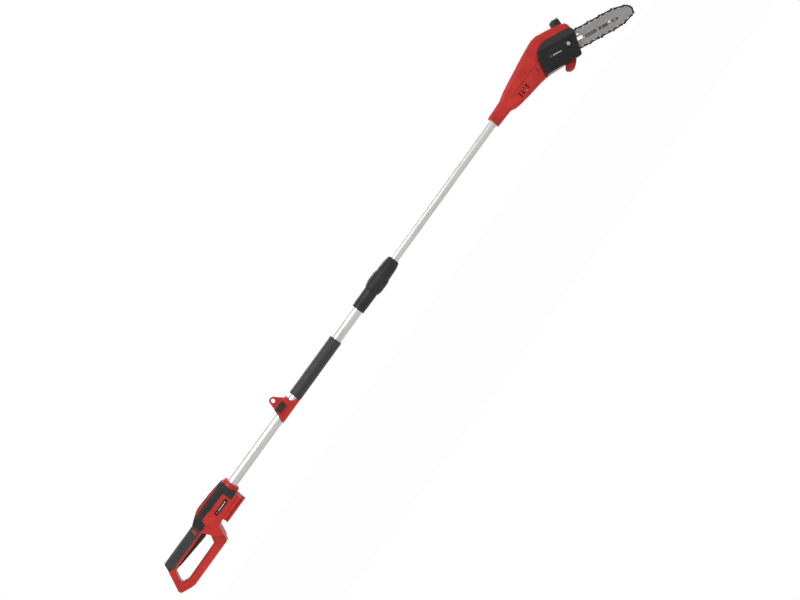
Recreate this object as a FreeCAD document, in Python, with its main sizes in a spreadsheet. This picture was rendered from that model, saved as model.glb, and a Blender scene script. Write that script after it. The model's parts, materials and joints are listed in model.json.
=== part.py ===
import FreeCAD, Part
import math
import os
import re
import Sketcher
from FreeCAD import Placement, Rotation, Vector

# Telescoping pole saw.  X runs along the pole towards the saw head, Z is the top side of the
# tool and Y its left side; the chain and its cover lie on the right (-Y).  The origin is on
# the pole's axis at the middle of the fore grip.  Millimetres and degrees.

SIZES = {
    "Fits": {
        "slide_gap": 0.3,
        "running_gap": 0.05,
        "screw_radius": 1.5,
        "screw_head_radius": 3.0,
        "screw_head_height": 2.4,
        "through_cut": 400.0,
    },
    "Pole": {
        "outer_tube_radius": 14.0,
        "outer_tube_wall": 1.5,
        "outer_tube_front": 250.0,
        "inner_tube_radius": 11.0,
        "inner_tube_wall": 1.5,
        "inner_tube_rear": -10.0,
        "fore_grip_length": 175.0,
        "fore_grip_radius": 17.0,
        "coil_rear": -425.0,
        "coil_radius": 8.5,
        "lead_radius": 3.0,
    },
    "Lock": {
        "lock_sleeve_rear": 180.0,
        "lock_sleeve_length": 57.5,
        "lock_sleeve_radius": 18.0,
        "lock_thread_radius": 16.4,
        "lock_nut_length": 97.0,
        "lock_nut_radius": 21.75,
        "collet_radius": 13.0,
    },
    "StrapMount": {
        "strap_rear": -157.5,
        "strap_length": 69.5,
        "strap_half_width": 19.0,
        "strap_plate_half": 6.0,
        "strap_split": 0.4,
        "strap_eye_radius": 5.5,
        "strap_eye_height": 37.5,
        "strap_bolt_radius": 2.5,
        "strap_bolt_height": 17.6,
        "strap_knob_depth": 11.0,
    },
    "Handle": {
        "handle_front": -367.5,
        "handle_length": 283.5,
        "handle_drop": 75.0,
        "grip_half_width": 17.0,
        "body_half_width": 26.0,
        "grip_top": 17.5,
        "grip_seam": 9.0,
        "body_floor": 31.0,
        "skin": 2.5,
        "loop_rounding": 3.0,
        "body_rounding": 2.0,
        "bevel_height": 17.0,
        "tube_seat_depth": 62.5,
        "collar_radius": 23.0,
        "collar_length": 12.5,
        "shoe_half_width": 27.0,
        "shoe_depth": 49.0,
        "trigger_half_width": 7.8,
        "trigger_length": 98.0,
    },
    "Head": {
        "head_rear": 757.0,
        "head_half_width": 29.0,
        "neck_half_width": 17.5,
        "tube_socket_depth": 43.0,
        "bar_seat_depth": 12.0,
        "bar_tilt": 25.0,
        "bar_origin_along": 293.0,
        "bar_origin_drop": 50.0,
    },
    "Drive": {
        "motor_tilt": 10.6,
        "motor_radius": 20.0,
        "motor_length": 52.0,
        "motor_shaft_radius": 2.5,
        "motor_gap": 58.0,
        "gear_module": 1.1,
        "pinion_teeth": 12,
        "crown_teeth": 24,
        "gear_face": 4.8,
        "output_shaft_radius": 5.0,
        "gearbox_radius": 25.0,
    },
    "BarAndChain": {
        "bar_plane": 22.0,
        "bar_thickness": 3.8,
        "bar_half_width": 20.75,
        "bar_tail": 53.0,
        "bar_taper_start": 90.0,
        "bar_nose_centre": 137.0,
        "bar_nose_radius": 11.75,
        "bar_groove_depth": 6.5,
        "bar_groove_width": 1.4,
        "bar_slot_width": 8.2,
        "sprocket_back": 75.3,
        "sprocket_teeth": 7,
        "chain_pitch": 8.255,
        "rivet_line": 2.3,
        "strap_rise": 2.1,
        "cutter_rise": 4.6,
        "tang_drop": 5.3,
        "link_thickness": 1.2,
    },
    "ChainCover": {
        "cover_depth": 27.6,
        "cover_gap": 0.4,
        "cover_corner": 41.0,
        "cover_rear": 117.0,
        "cover_top": 35.0,
        "cover_bottom": 40.0,
        "cover_wall": 2.5,
        "stud_back": 32.5,
        "stud_radius": 4.0,
        "nut_across_flats": 13.0,
    },
    "OilSystem": {
        "cap_back": 32.0,
        "cap_foot": 50.5,
        "cap_radius": 14.5,
        "cap_height": 20.0,
        "filler_radius": 9.0,
    },
}

doc = FreeCAD.newDocument("PoleSaw")
sheet = doc.addObject("Spreadsheet::Sheet", "dim")
ALIASES = set()
WORD = re.compile(r"[A-Za-z_]\w*")
pieces = []


def fill_sheet():
    """One row for each driving dimension, under its group's heading."""
    row = 1
    for group, values in SIZES.items():
        sheet.set("A%d" % row, group)
        row += 1
        for alias, number in values.items():
            sheet.set("A%d" % row, alias)
            sheet.set("B%d" % row, str(number))
            sheet.setAlias("B%d" % row, alias)
            ALIASES.add(alias)
            row += 1
    doc.recompute()


def linked(text):
    """The expression with each dimension's name pointing at its cell."""
    return WORD.sub(lambda m: "dim." + m.group() if m.group() in ALIASES else m.group(), str(text))


def number(text):
    """The present value of an expression in the sheet's names."""
    result = sheet.evalExpression(linked(text))
    return float(getattr(result, "Value", result))


def bind(item, **expressions):
    for name, text in expressions.items():
        item.setExpression(name, linked(text))


def place(item, x="0", y="0", z="0", axis=(0, 0, 1), angle="0"):
    """Bind an object's place, and its turn about one axis, to the sheet."""
    item.Placement = Placement(Vector(0, 0, 0), Rotation(Vector(*axis), 1))
    item.setExpression(".Placement.Base.x", linked(x))
    item.setExpression(".Placement.Base.y", linked(y))
    item.setExpression(".Placement.Base.z", linked(z))
    item.setExpression(".Placement.Rotation.Angle", linked(angle))
    return item


def piece(item, label):
    """Register a finished object as one sub-part of the tool."""
    item.Label = label
    pieces.append(item)
    return item


# ---------------------------------------------------------------- sketches and features

def new_body(label, **where):
    body = doc.addObject("PartDesign::Body", label + "_body")
    place(body, **where)
    return piece(body, label)


def new_sketch(body, plane="XZ_Plane", out="0", x="0", up="0", turn="0"):
    """A sketch on one of the body's own planes, moved out along its normal."""
    sketch = body.newObject("Sketcher::SketchObject", "Sketch")
    support = [f for f in body.Origin.OriginFeatures if f.Role == plane][0]
    sketch.AttachmentSupport = [(support, "")]
    sketch.MapMode = "FlatFace"
    sketch.AttachmentOffset = Placement(Vector(0, 0, 0), Rotation(Vector(0, 0, 1), 1))
    sketch.setExpression(".AttachmentOffset.Base.x", linked(x))
    sketch.setExpression(".AttachmentOffset.Base.y", linked(up))
    sketch.setExpression(".AttachmentOffset.Base.z", linked(out))
    sketch.setExpression(".AttachmentOffset.Rotation.Angle", linked(turn))
    return sketch


def fix_point(sketch, geometry, end, x, y):
    """Hold one end of a sketch line at coordinates bound to the sheet."""
    for kind, text in (("DistanceX", x), ("DistanceY", y)):
        constraint = Sketcher.Constraint(kind, -1, 1, geometry, end, number(text))
        index = sketch.addConstraint(constraint)
        sketch.setExpression("Constraints[%d]" % index, linked(text))


def draw_outline(sketch, points):
    """A closed polygon whose corners are bound to the sheet."""
    first = sketch.GeometryCount
    corners = [Vector(number(x), number(y), 0) for x, y in points]
    count = len(points)
    for i in range(count):
        sketch.addGeometry(Part.LineSegment(corners[i], corners[(i + 1) % count]))
    for i in range(count):
        after = first + (i + 1) % count
        sketch.addConstraint(Sketcher.Constraint("Coincident", first + i, 2, after, 1))
    for i, (x, y) in enumerate(points):
        fix_point(sketch, first + i, 1, x, y)
    return sketch


def draw_circle(sketch, x, y, radius):
    centre = Vector(number(x), number(y), 0)
    index = sketch.addGeometry(Part.Circle(centre, Vector(0, 0, 1), number(radius)))
    fix_point(sketch, index, 3, x, y)
    constraint = sketch.addConstraint(Sketcher.Constraint("Radius", index, number(radius)))
    sketch.setExpression("Constraints[%d]" % constraint, linked(radius))
    return sketch


def draw_rounded(sketch, half_width, low, high, radius):
    """A rectangle, centred across and reaching from low to high, with rounded corners."""
    w, r = "(%s)" % half_width, "(%s)" % radius
    inner = "%s - %s" % (w, r)
    low_in, high_in = "%s + %s" % (low, r), "%s - %s" % (high, r)
    sides = [(("-(%s)" % inner, low), (inner, low)), ((w, low_in), (w, high_in)),
             ((inner, high), ("-(%s)" % inner, high)), (("-" + w, high_in), ("-" + w, low_in))]
    centres = [(inner, low_in), (inner, high_in), ("-(%s)" % inner, high_in),
               ("-(%s)" % inner, low_in)]
    for start, end in sides:
        ends = [Vector(number(x), number(y), 0) for x, y in (start, end)]
        line = sketch.addGeometry(Part.LineSegment(*ends))
        fix_point(sketch, line, 1, *start)
        fix_point(sketch, line, 2, *end)
    for i, (x, y) in enumerate(centres):
        circle = Part.Circle(Vector(number(x), number(y), 0), Vector(0, 0, 1), number(radius))
        first = (i - 1) * math.pi / 2
        arc = sketch.addGeometry(Part.ArcOfCircle(circle, first, first + math.pi / 2))
        sketch.addConstraint(Sketcher.Constraint("Coincident", i, 2, arc, 1))
        sketch.addConstraint(Sketcher.Constraint("Coincident", arc, 2, (i + 1) % 4, 1))
        bend = sketch.addConstraint(Sketcher.Constraint("Radius", arc, number(radius)))
        sketch.setExpression("Constraints[%d]" % bend, linked(radius))
    return sketch


def pad(body, sketch, length, both=False, reverse=False):
    feature = body.newObject("PartDesign::Pad", "Pad")
    feature.Profile = sketch
    feature.SideType = "Symmetric" if both else "One side"
    feature.Reversed = reverse
    bind(feature, Length=length)
    sketch.Visibility = False
    body.Tip = feature
    return feature


def pocket(body, sketch, length=None, both=False, reverse=False):
    """Cut by a length, or through everything each way where no length is given."""
    doc.recompute()
    before = body.Shape.Volume
    feature = body.newObject("PartDesign::Pocket", "Pocket")
    feature.Profile = sketch
    feature.SideType = "Symmetric" if both or length is None else "One side"
    feature.Reversed = reverse
    bind(feature, Length=length or "through_cut")
    body.Tip = feature
    doc.recompute()
    if body.Shape.Volume > before - 1e-3:
        raise RuntimeError("a pocket cuts nothing in " + body.Label)
    return feature


def revolve(body, sketch, cut=False, axis="H_Axis"):
    """Turn a half section, drawn as distance along X and radius, about one sketch axis."""
    kind = "PartDesign::Groove" if cut else "PartDesign::Revolution"
    feature = body.newObject(kind, "Turn")
    feature.Profile = sketch
    feature.ReferenceAxis = (sketch, [axis])
    feature.Angle = 360
    body.Tip = feature
    return feature


def soften(body, radius, choose, kind="PartDesign::Fillet"):
    """Round or bevel the edges of the body's present shape that choose() accepts."""
    doc.recompute()
    base = body.Tip
    names = ["Edge%d" % (i + 1) for i, edge in enumerate(base.Shape.Edges) if choose(edge)]
    if not names:
        raise RuntimeError("no edge to soften in " + body.Label)
    feature = body.newObject(kind, "Softened")
    feature.Base = (base, names)
    if kind == "PartDesign::Fillet":
        bind(feature, Radius=radius)
    else:
        bind(feature, Size=radius)
    body.Tip = feature
    return feature


def on_plane(axis, text):
    """Chooses edges that lie wholly in a plane square to one axis."""
    level = number(text)

    def choose(edge):
        box = edge.BoundBox
        low, high = getattr(box, axis + "Min"), getattr(box, axis + "Max")
        return abs(low - level) < 0.01 and abs(high - level) < 0.01
    return choose


def across_at(*corners):
    """Chooses edges that run along Y through any of the given (x, z) corners."""
    places = [(number(x), number(z)) for x, z in corners]

    def choose(edge):
        if len(edge.Vertexes) != 2:
            return False
        a, b = edge.Vertexes[0].Point, edge.Vertexes[1].Point
        upright = abs(a.x - b.x) < 1e-4 and abs(a.z - b.z) < 1e-4
        return upright and any(math.hypot(a.x - x, a.z - z) < 0.05 for x, z in places)
    return choose


def turned(label, half_section, **where):
    """A piece turned on a lathe: (distance along its axis, radius) corners."""
    body = new_body(label, **where)
    revolve(body, draw_outline(new_sketch(body), half_section))
    return body


def tube_section(rear, front, outside, inside):
    return [(rear, inside), (front, inside), (front, outside), (rear, outside)]


# ---------------------------------------------------------------- primitives and groups

def cylinder(radius, length, x="0", y="0", z="0", axis=(0, 0, 1), angle="0"):
    item = doc.addObject("Part::Cylinder", "Rod")
    bind(item, Radius=radius, Height=length)
    return place(item, x, y, z, axis, angle)


def box(length, width, height, x="0", y="0", z="0"):
    """A block with its lowest corner at (x, y, z)."""
    item = doc.addObject("Part::Box", "Block")
    bind(item, Length=length, Width=width, Height=height)
    return place(item, x, y, z)


def fused(parts, name="Joined"):
    item = doc.addObject("Part::MultiFuse", name)
    item.Shapes = parts
    return item


def cut(base, tool):
    item = doc.addObject("Part::Cut", "Trimmed")
    item.Base = base
    item.Tool = tool
    return item


def grouped(label, parts):
    item = doc.addObject("Part::Compound", label + "_group")
    item.Links = parts
    return piece(item, label)


TOWARDS_RIGHT = dict(axis=(1, 0, 0), angle="90")
TOWARDS_LEFT = dict(axis=(1, 0, 0), angle="-90")
ALONG_POLE = dict(axis=(0, 1, 0), angle="90")


def screw(x, z, head_y, shank):
    """A socket screw driven from the left side, its head's outer face at head_y."""
    head = cylinder("screw_head_radius", "screw_head_height", x, head_y, z, **TOWARDS_RIGHT)
    rod = cylinder("screw_radius", "screw_head_height + " + shank, x, head_y, z, **TOWARDS_RIGHT)
    socket = doc.addObject("Part::Prism", "Socket")
    socket.Polygon = 6
    bind(socket, Circumradius="screw_head_radius * 0.55", Height="screw_head_height * 0.7")
    place(socket, x, head_y + " + 0.01", z, **TOWARDS_RIGHT)
    return cut(fused([head, rod], "Screw"), socket)


def shape_piece(label, shape, **where):
    """A sub-part whose repeated or meshing shape is worked out by formula."""
    item = doc.addObject("Part::Feature", label + "_shape")
    item.Shape = shape
    place(item, **where)
    return piece(item, label)


def faced(shape, rotation):
    """The shape with a turn worked into its geometry."""
    return shape.transformed(Placement(Vector(0, 0, 0), rotation).toMatrix(), True)


def plate(points, low_y, high_y):
    """A flat plate outlined in X and Z, between two distances along Y."""
    corners = [Vector(x, low_y, z) for x, z in points]
    face = Part.Face(Part.makePolygon(corners + corners[:1]))
    return face.extrude(Vector(0, high_y - low_y, 0))


# Places in the bar's own frame: along the bar towards its nose, and up square to it.

def bar_x(along, up="0"):
    return ("(head_rear + bar_origin_along + (%s) * cos(bar_tilt) + (%s) * sin(bar_tilt))"
            % (along, up))


def bar_z(along, up="0"):
    return "(-bar_origin_drop - (%s) * sin(bar_tilt) + (%s) * cos(bar_tilt))" % (along, up)


def in_bar_frame(along="0", up="0", y="0"):
    """Where-words for a body drawn in the bar's frame."""
    return dict(x=bar_x(along, up), y=y, z=bar_z(along, up), axis=(0, 1, 0), angle="bar_tilt")


# ---------------------------------------------------------------- handle

# Outlines in the handle's frame: X = 0 at its front face, running back to -handle_length.
RED_LOOP = [
    ("26 - handle_length", "-1"),
    ("39 - handle_length", "-grip_seam"),
    ("-110", "-grip_seam"),
    ("-104.5", "3"),
    ("-100.5", "5"),
    ("-77.5", "5"),
    ("-75.5", "2.5"),
    ("-22.5", "2.5"),
    ("-19.5", "0"),
    ("-19.5", "-22"),
    ("-17.5", "-24"),
    ("0", "-24"),
    ("0", "-body_floor"),
    ("-70", "-body_floor - 4"),
    ("-85", "-body_floor - 4"),
    ("-90", "-body_floor - 8"),
    ("-107.5", "3 - handle_drop"),
    ("-112.5", "-handle_drop"),
    ("39 - handle_length", "-handle_drop"),
    ("26 - handle_length", "4 - handle_drop"),
    ("1 - handle_length", "16 - handle_drop"),
    ("-handle_length", "24 - handle_drop"),
    ("9 - handle_length", "-34"),
]
FINGER_OPENING = [
    ("35 - handle_length", "-17"),
    ("43 - handle_length", "-14.5"),
    ("-130.5", "-14.5"),
    ("-122.5", "-34"),
    ("-132.5", "24 - handle_drop"),
    ("41 - handle_length", "22.5 - handle_drop"),
    ("23.5 - handle_length", "31 - handle_drop"),
    ("23.5 - handle_length", "36 - handle_drop"),
]
RED_BODY = [
    ("-104.5", "3"),
    ("-100.5", "5"),
    ("-77.5", "5"),
    ("-75.5", "2.5"),
    ("-22.5", "2.5"),
    ("-19.5", "0"),
    ("-19.5", "-22"),
    ("-17.5", "-24"),
    ("0", "-24"),
    ("0", "-body_floor"),
    ("-70", "-body_floor - 4"),
    ("-85", "-body_floor - 4"),
    ("-90", "-body_floor - 8"),
    ("-102", "-64"),
    ("-121", "-40"),
    ("-118", "-grip_seam"),
    ("-110", "-grip_seam"),
]
GRIP_SPINE = [
    ("36 - handle_length", "-grip_seam - 1"),
    ("32 - handle_length", "-4"),
    ("36 - handle_length", "grip_top - skin"),
    ("-130", "grip_top - skin"),
    ("-104", "grip_top + 7"),
    ("-104", "-grip_seam - 1"),
]
BODY_SPINE = [
    ("-106", "-grip_seam - 1"),
    ("-106", "grip_top + 6.5"),
    ("-97.5", "30 - skin"),
    ("-87.5", "32 - skin"),
    ("-39.5", "30 - skin"),
    ("-3", "26 - skin"),
    ("-3", "-25"),
]
TOP_COVER_OUTLINE = [
    ("-130", "-grip_seam"),
    ("-130", "grip_top"),
    ("-97.5", "30"),
    ("-87.5", "32"),
    ("-39.5", "30"),
    ("0", "26"),
    ("0", "-24"),
    ("-17.5", "-24"),
    ("-19.5", "-22"),
    ("-19.5", "0"),
    ("-22.5", "2.5"),
    ("-75.5", "2.5"),
    ("-77.5", "5"),
    ("-100.5", "5"),
    ("-104.5", "3"),
    ("-110", "-grip_seam"),
]
GRIP_SKIN = [
    ("26 - handle_length", "-1"),
    ("33.5 - handle_length", "grip_top"),
    ("-130", "grip_top"),
    ("-130", "-grip_seam"),
    ("39 - handle_length", "-grip_seam"),
]
# Where the grip widens into the body, seen from above.
FLARE = [
    ("-136", "-grip_half_width"),
    ("-130", "-grip_half_width"),
    ("-104", "-body_half_width - 0.2"),
    ("-104", "-body_half_width - 6"),
    ("-136", "-body_half_width - 6"),
]
# The bevel along the cover's top edges, as (Y, Z) corners.
COVER_BEVEL = [
    ("body_half_width + 1", "bevel_height - 1.3"),
    ("body_half_width + 1", "40"),
    ("body_half_width - 17.3", "40"),
]
BUTTON_HOLE = [
    ("-142.6", "11"),
    ("-134.6", "11"),
    ("-137.6", "-4"),
    ("-145.6", "-4"),
]
HANDLE_SCREWS = [
    ("17 - handle_length", "-48"),
    ("46 - handle_length", "7 - handle_drop"),
    ("-116", "8 - handle_drop"),
    ("-113", "-26"),
    ("-39", "-24"),
    ("-39", "22"),
]
TRIGGER_PIVOT = ("46.5 - handle_length", "-12")


def mirrored(points):
    return [(x, "-(%s)" % y) for x, y in points]


def flare_cut(body, side=0):
    """Narrow the rear of a wide handle piece to the grip's width."""
    sides = [FLARE, mirrored(FLARE)] if side == 0 else [FLARE if side < 0 else mirrored(FLARE)]
    for outline in sides:
        pocket(body, draw_outline(new_sketch(body, "XY_Plane"), outline))


def handle_shell(label, side):
    """Half of the moulded handle; side is -1 for the right half and +1 for the left."""
    left = side > 0
    body = new_body(label, x="handle_front")
    loop = draw_outline(new_sketch(body), RED_LOOP)
    pad(body, draw_outline(loop, FINGER_OPENING), "grip_half_width", reverse=left)
    soften(body, "loop_rounding", loop_rim("%d * grip_half_width" % side))
    pad(body, draw_outline(new_sketch(body), RED_BODY), "body_half_width", reverse=left)
    flare_cut(body, side)
    soften(body, "body_rounding", body_rim("%d * body_half_width" % side))
    pad(body, draw_outline(new_sketch(body), GRIP_SPINE), "grip_half_width - skin", reverse=left)
    pad(body, draw_outline(new_sketch(body), BODY_SPINE), "body_half_width - 2 * skin", reverse=left)
    hollow_handle(body, left)
    return body


def loop_rim(y):
    """Chooses the rim of the loop behind the body, but not its seam with the soft grip."""
    outer = on_plane("Y", y)
    seam = number("-grip_seam")

    def choose(edge):
        box = edge.BoundBox
        return outer(edge) and box.XMax < number("-121") and box.ZMin < seam - 0.01
    return choose


def body_rim(y):
    """Chooses the lower rim of the wide red body."""
    outer = on_plane("Y", y)
    low = number("1 - body_floor")

    def choose(edge):
        return outer(edge) and edge.BoundBox.ZMax < low and edge.BoundBox.XMin > number("-91")
    return choose


def hollow_handle(body, left):
    """Chambers between the ribs, the tube's seat, and the holes for pins and screws."""
    inward = not left
    chambers = [
        ([("-100", "-27"), ("-42", "-27"), ("-42", "26"), ("-84", "27"), ("-100", "23")],
         "body_half_width - 2 * skin - 3"),
        ([("-36", "-27"), ("-7", "-26"), ("-7", "22"), ("-36", "25")],
         "body_half_width - 2 * skin - 3"),
        ([("46 - handle_length", "-grip_seam"), ("-124", "-grip_seam"), ("-124", "12"),
          ("46 - handle_length", "12")], "11"),
        ([("44 - handle_length", "-17"), ("-130.6", "-17"), ("-130.6", "-grip_seam + 1"),
          ("44 - handle_length", "-grip_seam + 1")], "trigger_half_width + slide_gap"),
        ([("50 - handle_length", "4 - handle_drop"), ("-123", "4 - handle_drop"),
          ("-123", "18 - handle_drop"), ("50 - handle_length", "18 - handle_drop")], "12"),
    ]
    for outline, depth in chambers:
        pocket(body, draw_outline(new_sketch(body), outline), depth, reverse=inward)
    seat = draw_circle(new_sketch(body, "YZ_Plane"), "0", "0", "outer_tube_radius")
    pocket(body, seat, "tube_seat_depth")
    pocket(body, draw_outline(new_sketch(body), BUTTON_HOLE))
    holes = new_sketch(body)
    for x, z in HANDLE_SCREWS:
        draw_circle(holes, x, z, "screw_radius")
    draw_circle(holes, *TRIGGER_PIVOT, "screw_radius")
    pocket(body, holes, "grip_half_width - 4", reverse=inward)
    if left:
        heads = new_sketch(body, out="-grip_half_width + 4")
        for x, z in HANDLE_SCREWS:
            draw_circle(heads, x, z, "screw_head_radius")
        pocket(body, heads, "40")


def handle_screws():
    screws = []
    for x, z in HANDLE_SCREWS:
        screws.append(screw("handle_front + " + x, z, "grip_half_width - 4 + screw_head_height",
                            "2 * grip_half_width - 8"))
    grouped("handle_screws", screws)


def grip_overmould():
    """The soft saddle over the rear grip."""
    body = new_body("grip_overmould", x="handle_front")
    pad(body, draw_outline(new_sketch(body), GRIP_SKIN), "2 * grip_half_width", both=True)
    soften(body, "5", across_at(("33.5 - handle_length", "grip_top")))
    top_rims = [on_plane("Y", "-grip_half_width"), on_plane("Y", "grip_half_width")]
    seam = number("-grip_seam")
    front = number("-130")

    def outer_rim(edge):
        box = edge.BoundBox
        if abs(box.ZMax - seam) < 0.01 or abs(box.XMin - front) < 0.01:
            return False
        return any(choose(edge) for choose in top_rims)
    soften(body, "6", outer_rim)
    spine = draw_outline(new_sketch(body), GRIP_SPINE)
    pocket(body, spine, "2 * grip_half_width - 2 * skin", both=True)
    pocket(body, draw_outline(new_sketch(body), BUTTON_HOLE))


def top_cover():
    """The hard cover over the front of the handle, with its two front legs."""
    body = new_body("top_cover", x="handle_front")
    outline = draw_outline(new_sketch(body), TOP_COVER_OUTLINE)
    pad(body, outline, "2 * body_half_width", both=True)
    flare_cut(body)
    tops = [("-39.5", "30"), ("-87.5", "32"), ("-97.5", "30")]
    soften(body, "6", across_at(*tops))
    for bevel in (COVER_BEVEL, [("-(%s)" % y, z) for y, z in COVER_BEVEL]):
        pocket(body, draw_outline(new_sketch(body, "YZ_Plane"), bevel))
    pocket(body, draw_outline(new_sketch(body), BODY_SPINE),
           "2 * body_half_width - 4 * skin", both=True)
    pocket(body, draw_outline(new_sketch(body), GRIP_SPINE),
           "2 * grip_half_width - 2 * skin", both=True)
    seat = draw_circle(new_sketch(body, "YZ_Plane"), "0", "0", "outer_tube_radius")
    pocket(body, seat, "10")


def collar_and_tube():
    turned("front_collar_ring",
           [("0", "outer_tube_radius"), ("0", "collar_radius"),
            ("collar_length - 3", "collar_radius"), ("collar_length", "collar_radius - 2"),
            ("collar_length", "outer_tube_radius")], x="handle_front")
    turned("outer_tube",
           tube_section("handle_front - tube_seat_depth", "outer_tube_front",
                        "outer_tube_radius", "outer_tube_radius - outer_tube_wall"))
    half = "fore_grip_length / 2"
    turned("fore_grip",
           [("-" + half, "outer_tube_radius"), (half, "outer_tube_radius"),
            (half, "fore_grip_radius - 1.5"), (half + " - 1.5", "fore_grip_radius"),
            ("1.5 - " + half, "fore_grip_radius"), ("-" + half, "fore_grip_radius - 1.5")])
    turned("inner_tube",
           tube_section("inner_tube_rear", "head_rear + tube_socket_depth",
                        "inner_tube_radius", "inner_tube_radius - inner_tube_wall"))
    turned("inner_tube_bush",
           tube_section("inner_tube_rear - 2", "inner_tube_rear + 20",
                        "outer_tube_radius - outer_tube_wall - slide_gap / 2",
                        "inner_tube_radius"))


def battery_shoe():
    body = new_body("battery_shoe", x="handle_front")
    block = [("-1.5", "-body_floor - 0.09"), ("-69.5", "-body_floor - 3.97"),
             ("-69.5", "-shoe_depth"), ("-1.5", "-shoe_depth")]
    pad(body, draw_outline(new_sketch(body), block), "2 * shoe_half_width", both=True)
    for sign in ("-", ""):
        rail = [(sign + "(shoe_half_width + 1)", "4 - shoe_depth"),
                (sign + "(shoe_half_width - 5)", "4 - shoe_depth"),
                (sign + "(shoe_half_width - 5)", "8 - shoe_depth"),
                (sign + "(shoe_half_width + 1)", "8 - shoe_depth")]
        pocket(body, draw_outline(new_sketch(body, "YZ_Plane"), rail))
    slot = [("-60", "-shoe_depth - 1"), ("0", "-shoe_depth - 1"), ("0", "9.5 - shoe_depth"),
            ("-60", "9.5 - shoe_depth")]
    pocket(body, draw_outline(new_sketch(body), slot), "shoe_half_width", both=True)
    blades = []
    for y in ("-9", "-3.5", "2.5", "8"):
        blades.append(box("14", "1", "8", "handle_front - 59.5", y, "1.5 - shoe_depth"))
    base = box("12", "22", "0.5", "handle_front - 59.5", "-11", "9 - shoe_depth")
    piece(fused(blades + [base], "Blades"), "battery_contacts")


def trigger_parts():
    """The long trigger, its pin and spring, and the switch above it."""
    body = new_body("trigger", x="handle_front")
    lever = [("53 - handle_length", "-10"), ("trigger_length + 53 - handle_length", "-10"),
             ("trigger_length + 55 - handle_length", "-24"),
             ("trigger_length + 50 - handle_length", "-25"),
             ("54.5 - handle_length", "-17.6")]
    hinge = [("44.3 - handle_length", "-15.6"), ("56 - handle_length", "-17.5"),
             ("56 - handle_length", "-9.2"), ("44.3 - handle_length", "-9.2")]
    pad(body, draw_outline(new_sketch(body), lever), "2 * trigger_half_width", both=True)
    bottom = number("-16")

    def finger_rim(edge):
        side = abs(abs(edge.BoundBox.YMin) - number("trigger_half_width")) < 0.01
        flat = edge.BoundBox.YLength < 0.01
        return side and flat and edge.BoundBox.ZMax < bottom
    soften(body, "3", finger_rim)
    pad(body, draw_outline(new_sketch(body), hinge), "2 * trigger_half_width", both=True)
    pin_hole = draw_circle(new_sketch(body), *TRIGGER_PIVOT, "screw_radius + running_gap")
    pocket(body, pin_hole)
    pin = cylinder("screw_radius", "2 * grip_half_width - 8",
                   "handle_front + " + TRIGGER_PIVOT[0], "grip_half_width - 4",
                   TRIGGER_PIVOT[1], **TOWARDS_RIGHT)
    piece(pin, "trigger_pin")
    spring_x = "handle_front - 155"
    spring = cut(cylinder("3.6", "21", spring_x, "0", "-9.6"),
                 cylinder("2.4", "23", spring_x, "0", "-10.6"))
    piece(spring, "trigger_spring")
    case = box("40", "19", "14", "handle_front + 75 - handle_length", "-9.5", "-3")
    plunger = box("6", "8", "4", "handle_front + 106 - handle_length", "-4", "-7")
    piece(fused([case, plunger], "SwitchCase"), "switch")


def lock_off_parts():
    """The cross button that frees the trigger, and its return spring."""
    body = new_body("lock_off_button", x="handle_front")
    gap = "slide_gap"
    stem = [("-142.6 + " + gap, "11 - " + gap), ("-134.6 - " + gap, "11 - " + gap),
            ("-137.6 - " + gap, "-4 + " + gap), ("-145.6 + " + gap, "-4 + " + gap)]
    pad(body, draw_outline(new_sketch(body), stem), "2 * grip_half_width + 1.2", both=True)
    bore = draw_circle(new_sketch(body, out="grip_half_width + 0.6 - 14"), "-140", "3.5", "2.6")
    pocket(body, bore, "12")
    spring = cut(cylinder("2.2", "11", "handle_front - 140", "-grip_half_width + 13.4", "3.5",
                          **TOWARDS_LEFT),
                 cylinder("1.4", "13", "handle_front - 140", "-grip_half_width + 12.4", "3.5",
                          **TOWARDS_LEFT))
    piece(spring, "lock_off_spring")


def handle_electrics():
    board = box("1.6", "32", "24", "handle_front - 80", "-16", "-14")
    chips = [box("9", "12", "12", "handle_front - 89", "-12", "-8"),
             box("6", "8", "16", "handle_front - 86", "4", "-10"),
             box("7", "6", "6", "handle_front - 78.4", "-3", "-13")]
    piece(fused([board] + chips, "Board"), "control_board")
    lead = cylinder("lead_radius", "coil_rear - handle_front + 78.4", "handle_front - 78.4",
                    "0", "0", **ALONG_POLE)
    piece(lead, "handle_cable")
    label = new_body("handle_label_plate", x="handle_front", y="-body_half_width")
    face = [("-73", "-9"), ("-24.5", "-9"), ("-24.5", "-19"), ("-73", "-19")]
    pad(label, draw_outline(new_sketch(label), face), "0.6")
    soften(label, "2", across_at(*face))


# ---------------------------------------------------------------- pole fittings

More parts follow.
